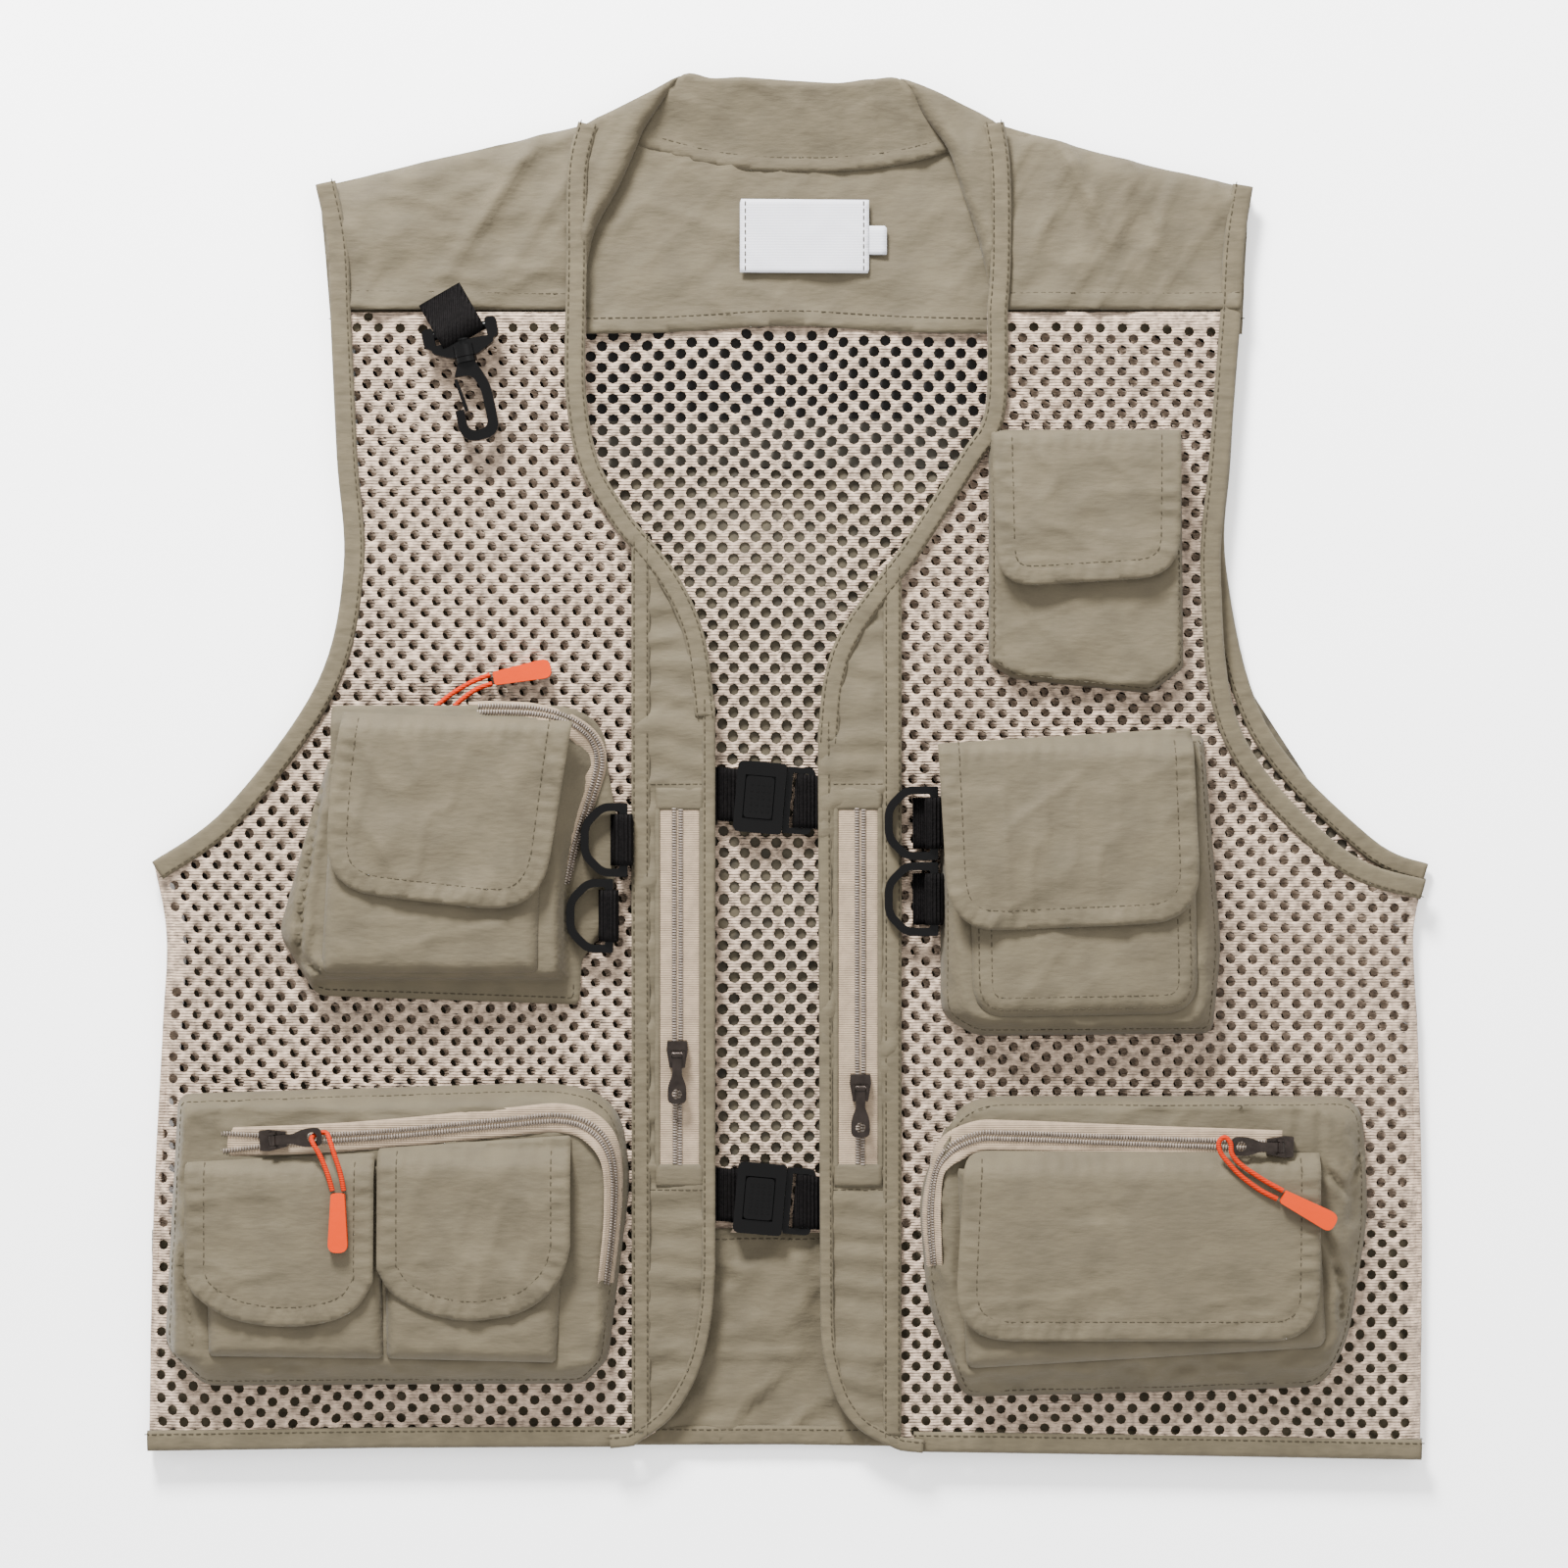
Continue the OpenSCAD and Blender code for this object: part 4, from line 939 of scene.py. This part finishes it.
CARGO_SHAPE = {"folded": (([(-268, -176), (-272, -200), (-265, -262)], 2.2),
                          ([(-256, -148), (-254, -158), (-254, -170)], 1.2))}
pouch("right_cargo_pouch", cargo_base, cargo_body, BAG_TOP, "right_cargo_bag", 84, **CARGO_SHAPE)
left_cargo_base = rounded([(62, -240, 14), (78, -282, 6), (160, -280), (240, -277.5, 10), (251, -256, 10),
                           (260, -200, 14), (257, -147, 14), (76, -147, 18), (58, -190, 12)])
left_cargo_body = rounded([(77, -268.5, 4), (241, -258.5, 8), (245, -151, 14), (68, -151, 20)])
LEFT_CARGO_SHAPE = {"crumple": 1.4, "folded": (
    ([(235, -176), (242, -182), (249, -190)], 3.2), ([(249, -190), (253, -180), (256, -166)], 3.0),
    ([(236, -203), (240, -211), (244, -219)], 2.6), ([(241, -214), (246.6, -234), (245.7, -250)], 3.2),
    ([(227.6, -147), (226, -158), (225, -169)], 1.4), ([(236.4, -147), (236, -160), (235.4, -176)], 1.4))}
pouch("left_cargo_pouch", left_cargo_base, left_cargo_body, BAG_TOP, "left_cargo_bag", 87, **LEFT_CARGO_SHAPE)
chest_base = rounded([(101, 40, 2), (162, 33.6, 2), (177, 45, 2), (176, 152, 2), (89.6, 152, 2), (89.6, 47, 2)])
chest_body = rounded([(102, 42.6, 3), (161, 36.4, 3), (174.4, 47, 3), (173.4, 150, 2), (92, 150, 2),
                      (92, 48.6, 3)])
pouch("left_chest_pouch", chest_base, chest_body, CHEST_TOP - 3, "left_chest_bag", 90, 2)
left_mid_base = rounded([(68, -111, 8), (84, -120, 5), (190, -119, 5), (194, -80, 10), (186, 15, 3), (68, 11, 3)])
left_mid_body = rounded([(78, -112, 12), (185, -112, 10), (181, 10, 2), (73, 8, 2)])
pouch("left_mid_pouch", left_mid_base, left_mid_body, BAG_TOP, "left_mid_bag", 93)

# The overhang of the right middle pocket, over its zip's slider
hood_outline = rounded([(-204, -14), (-80, -14), (-83, 20, 10), (-98, 28, 8), (-204, 28, 2)])


def hood_level(q, d, s):
    x, y = q.T
    drop = 4 * bell((27 - y) / 5)
    level = 28 - drop + rumple(x, y, 96, 0.6)
    under_bag = 3 * ease((4 - y) / 14)
    return 12.6 + (level - 12.6) * ring_side(x, y) - under_bag


cloth("right_mid_hood", hood_outline, hood_level, 1.3, 2.2, node="right_mid_bag")

mid_zip = even(curve([(-143, 26.2), (-130, 26.4), (-112, 25.4), (-97, 21), (-87.6, 13), (-85, 2), (-89.4, -15),
                      (-95.6, -34), (-100.6, -56)]), 2)


def mid_zip_surface(q):
    d, s = measure(q, mid_base)
    on_bag = bag_level(mid_body, BAG_TOP, 81, **MID_SHAPE)(q, d, s)
    return np.maximum(np.where(q[:, 1] > -13, hood_level(q, d, s), 0), np.where(q[:, 1] < 3, on_bag, 0))


def laid_on(outline, level):
    return lambda q: level(q, *measure(q, outline))


def smooth(values, over=4):
    ends = np.concatenate([[values[0]] * over, values, [values[-1]] * over])
    return np.convolve(ends, np.ones(2 * over + 1) / (2 * over + 1), "valid")


def pocket_zip(name, path, surface, width, shift=0.0, apart=lambda p: 1.4):
    """A zip on a bag: the tape's middle lies shift to the left of the coil."""
    laid, lean = tilted(path, surface)
    last = np.minimum(np.arange(len(path)), np.arange(len(path))[::-1]) * 2.0  # the ends go down into the seam
    sunk = 3.6 * bell(last / 5)
    laid[:, 2], lean = smooth(laid[:, 2]) + 0.9 - sunk, smooth(lean)
    across = leaning(laid, lean)
    tape(name + "_tape", laid + across * shift, lean, width, "pocket_zips")
    teeth(name + "_coil", laid[2:-2] + (0, 0, 0.15), lean[2:-2], apart, "pocket_zips")


pocket_zip("right_mid_zip", mid_zip, mid_zip_surface, 12, -2.4)
cargo_zip = even(curve([(-257, -166.6), (-193, -163.8), (-126, -157.6), (-102, -155.6), (-87, -160.6), (-79, -174),
                        (-78.4, -200), (-82, -234)]), 2)
cargo_surface = laid_on(cargo_base, bag_level(cargo_body, BAG_TOP, 84, **CARGO_SHAPE))
pocket_zip("right_cargo_zip", cargo_zip, cargo_surface, 13,
           apart=lambda p: 1.4 + 2.8 * min(max((-224 - p[0]) / 30, 0), 1))
left_cargo_zip = even(curve([(65, -226), (63.4, -196), (68, -174), (82, -164.4), (100, -163.6), (150, -165.6),
                             (226, -168.4)]), 2)
left_cargo_level = bag_level(left_cargo_body, BAG_TOP, 87, **LEFT_CARGO_SHAPE)
left_cargo_surface = laid_on(left_cargo_base, left_cargo_level)
pocket_zip("left_cargo_zip", left_cargo_zip, left_cargo_surface, 14)

# ---------- Patch pockets ----------


def raised(outline, above):
    """The outline with its part above that y moved up, so that the top edge is not stitched or puckered."""
    return outline + np.column_stack([0 * outline[:, 0], 12 * (outline[:, 1] > above)])


def patch(name, corners, seed, open_y, stitched=(3, 8.6), steep=5.5):
    outline = rounded(corners)
    taller = raised(outline, open_y - 4)

    def level(q, d, s):
        x, y = q.T
        d, s = measure(q, taller)
        rise = 1 - np.exp(-((d / steep) ** 1.3))
        sewn = puckers(d, s, 8.6, seed, 0.5) if len(stitched) else 0
        lie = rumple(x, y, seed, 1.2).clip(-2, 0.9) * rise
        return BAG_TOP + 1.1 + (PATCH_TOP - BAG_TOP - 1.9) * rise + sewn + lie

    lines = [inner_line(taller, w, closed=False) for w in stitched]
    cloth(name, outline, level, 1.3, 2.2, node="patch_pockets",
          seams=[run_of(line, line[:, 1] < open_y - 3) for line in lines])


patch("right_mid_patch", [(-208, -91, 4), (-112, -91, 3), (-110, 0), (-203, 0)], 101, 0, (), 2.6)
patch("right_outer_patch", [(-258, -261.5, 2), (-180.6, -262.6, 2), (-182, -177), (-260, -178)],
      104, -177, (), 2.4)
patch("right_inner_patch", [(-178.8, -262.6, 2), (-103.6, -264.4, 2), (-99, -174), (-180, -174)],
      107, -174, (), 2.4)
patch("left_mid_patch", [(82, -111, 16), (182, -109, 16), (180, -6), (80, -6)], 110, -6, (3, 8.6), 3.4)
patch("left_cargo_patch", [(79, -267, 4), (239, -257.5, 6), (235, -178), (75, -178)], 113, -178, (), 2.6)

for name, (x0, y0, x1, y1), z in (
        ("right_mid", (-184, -52, -124, -36), PATCH_TOP), ("right_outer", (-244, -238, -204, -224), PATCH_TOP),
        ("right_inner", (-162, -236, -122, -222), PATCH_TOP), ("left_chest", (112, 88, 152, 102), CHEST_TOP),
        ("left_mid", (100, -60, 156, -44), PATCH_TOP), ("left_cargo", (120, -244, 190, -228), PATCH_TOP)):
    cloth(name + "_strip", rounded([(x0, y0, 1), (x1, y0, 1), (x1, y1, 1), (x0, y1, 1)]),
          lambda q, d, s, z=z: z + 0.1 + 0 * d, 0.9, 3, look="hook_and_loop", node="closure_strips")

# ---------- Flaps ----------


def flap(name, corners, hinge_y, seed, top=FLAP_TOP, root=7.0, stitched=8.6, relief=3.0):
    outline = rounded(corners)

    def level(q, d, s):
        x, y = q.T
        up = bell((hinge_y + 1 - y).clip(0) / 5)
        free = 1 - np.exp(-((hinge_y - y).clip(0) / 14))
        return (top - 0.2 - root * up - 0.25 * free * np.exp(-d / 0.8) + puckers(d, s, stitched, seed)
                + (0.4 + rumple(x, y, seed, 1.9).clip(-1.4, relief)) * free)

    line = inner_line(raised(outline, hinge_y - 8), stitched, closed=False)
    cloth(name + "_cloth", outline, level, 1.2, 2, body=name, node=name, hinge=(hinge_y + 1, hinge_y - 11),
          seams=[run_of(line, line[:, 1] < hinge_y - 2)])


flap("right_mid_flap", [(-206, -54, 24), (-110, -65, 26), (-96, 21), (-198, 25), (-203, -4)], 24, 121)
flap("right_cargo_outer_flap", [
    *curve([(-268, -224), (-263, -234), (-248, -243.6), (-227, -247.4), (-206, -245.8), (-192, -239.6),
            (-184.4, -228)], 5),
    (-184, -171), (-268, -175)], -173, 124, relief=0.1)
flap("right_cargo_inner_flap", [
    *curve([(-182.8, -222), (-175, -234), (-157, -242.8), (-137, -244.8), (-116, -240), (-102, -227.4),
            (-97, -213)], 5),
    (-97, -163.2), (-182.6, -169)], -169, 127)
flap("left_chest_flap", [(92.5, 80.5, 18), (174.5, 85.5, 19), (175, 151), (90.5, 150)], 150, 130,
     top=CHEST_FLAP_TOP, root=2.0)
flap("left_mid_flap", [(71, -73, 24), (183, -68, 24), (179, 18), (66, 11)], 14, 133)
flap("left_cargo_flap", [(73, -254, 26), (235, -254, 22), (236, -171), (78, -170, 10)], -172, 136, relief=0.3)

# ---------- Webbing ----------

BUCKLE_WEB, RING_WEB, STRAP_WEB = 24.0, 23, 21
BUCKLE_X, BUCKLE_LEAN = -13, math.radians(-5)
buckle_across = (-math.sin(BUCKLE_LEAN), math.cos(BUCKLE_LEAN), 0)


def at_buckle(y0, points):
    """Points (x, z) along the line of a buckle whose middle is at that y."""
    return [(BUCKLE_X + x * math.cos(BUCKLE_LEAN), y0 + x * math.sin(BUCKLE_LEAN), z) for x, z in points]


for side, y0 in (("upper", -13), ("lower", -193)):
    path = even(at_buckle(y0, [(-34, 7.4), (-20, 7.5), (-8.6, 7.4)]), 2)
    band(side + "_right_webbing_strip", path, BUCKLE_WEB, 1.3, "webbing", node="buckle_webbing_right",
         across=buckle_across, wave=0.04)
    path = even(at_buckle(y0, [(15.3, 3.7), (15.4, 8.3), (17.2, 9.2), (24, 8.6), (30, 7), (46, 6.4)]), 1.6)
    band(side + "_left_webbing_strip", path, BUCKLE_WEB, 1.3, "webbing", body=side + "_tongue",
         node=side + "_webbing_left", across=buckle_across, wave=0.04)

RING_BAR_Z, RING_LOOP = 16.0, 4.4  # height of a D-ring's bar, and the radius of the tab's loop round it
for name, x, y, reach in (("right_upper", -74, -32, 6), ("right_lower", -80.4, -66, 5),
                          ("left_upper", 65, -24.5, 9.5), ("left_lower", 65, -58.5, 9.5)):
    loop = [(x - reach, y, 11.2), (x - 2, y, 11.2), (x + 1.6, y, 11.7)]
    loop += [(x + RING_LOOP * math.sin(a), y, RING_BAR_Z - RING_LOOP * math.cos(a))
             for a in np.radians(np.arange(30, 350, 20))]
    loop += [(x - 2.2, y, 12.2)]
    band(name + "_ring_tab", loop, RING_WEB, 1.2, "webbing", node="ring_webbing", across=(0, -1, 0), wave=0.03)

STRAP_BAR, STRAP_LEAN = np.array([-147.2, 196.0]), math.radians(30)
away = np.array([-math.sin(STRAP_LEAN), math.cos(STRAP_LEAN)])
strap = [(*(STRAP_BAR + away * t), z) for t, z in (
    (4.4, 14.2), (1, 13.2), (-2.6, 14.2), (-3.9, 17), (-2.6, 20), (0.6, 21), (5, 19.6), (11, 15.4), (17, 13),
    (19, 12.6))]
band("hook_strap_webbing", curve(strap, 5), STRAP_WEB, 1.3, "webbing", node="hook_strap",
     across=(math.cos(STRAP_LEAN), math.sin(STRAP_LEAN), 0), wave=0.04)

# ---------- Hard parts: the CAD nodes, with softened edges ----------

# For each look, how its nodes' names end, and how round their edges are
FINISH = {
    "zip_metal": (("slider", "_tab"), 0.25),
    "orange_grip": (("grip",), 0.9),
    "black_plastic": (("housing", "button", "tongue", "_ring", "swivel", "snap_hook", "gate"), 0.5)}
for name, node in nodes.items():
    if node.hide_render:
        continue
    look = next(k for k, (endings, _) in FINISH.items() if name.endswith(endings))
    node.data.materials.clear()
    node.data.materials.append(looks[look])
    edge = node.modifiers.new("edge", "BEVEL")
    edge.width = FINISH[look][1] * MM
    edge.segments, edge.limit_method, edge.angle_limit = 2, "ANGLE", math.radians(40)

# ---------- Stage ----------


def plane(name, outline, z, colour, roughness):
    mesh = bpy.data.meshes.new(name)
    mesh.from_pydata([(x * MM, y * MM, z * MM) for x, y in outline], [], [list(range(len(outline)))])
    floor = bpy.data.objects.new(name, mesh)
    bpy.context.scene.collection.objects.link(floor)
    look = bpy.data.materials.new(name)
    look.use_nodes = True
    put(look.node_tree.nodes["Principled BSDF"], Base_Color=(*colour, 1), Roughness=roughness)
    mesh.materials.append(look)


plane("floor", [(-4000, -4000), (4000, -4000), (4000, 4000), (-4000, 4000)], -1.2, (0.95, 0.95, 0.95), 0.9)

# Painted shadow: a dark sheet under the vest, just inside its outline, that stands in for the shade seen through
# the two layers of mesh, and nowhere else
shadow_outline = np.vstack([
    [(190, 206), (-194, 206)], RIGHT_ARM[RIGHT_ARM[:, 1] < 190] + (9, 0), RIGHT_SIDE + (8, 0),
    [(-270, -296), (270, -296)], LEFT_SIDE[::-1] - (8, 0),
    LEFT_ARM_BACK[LEFT_ARM_BACK[:, 1] < 190][::-1] - (9, 0)])
plane("painted_shadow_sheet", shadow_outline[::-1].tolist(), -0.6, (0.007, 0.006, 0.005), 0.95)
# Painted shade: a dim sheet below the neck, in the colour of shaded olive, for the half-lit cloth seen through the
# mesh holes there
plane("painted_dim_shadow_sheet", [(-165, 136), (165, 136), (160, 159), (-160, 156)], -0.5, (0.045, 0.04, 0.03), 0.95)

world = bpy.data.worlds.new("studio")
world.use_nodes = True
put(world.node_tree.nodes["Background"], Color=(1, 1, 1, 1), Strength=2.25)
bpy.context.scene.world = world
for name, at, size, power in (("key", (-500, 1700, 1150), 500, 225), ("fill", (1100, 600, 2200), 1600, 15)):
    lamp = bpy.data.objects.new(name, bpy.data.lights.new(name, "AREA"))
    lamp.data.size, lamp.data.energy = size * MM, power
    lamp.location = Vector(at) * MM
    lamp.rotation_euler = (-lamp.location).to_track_quat("-Z", "Y").to_euler()
    bpy.context.scene.collection.objects.link(lamp)
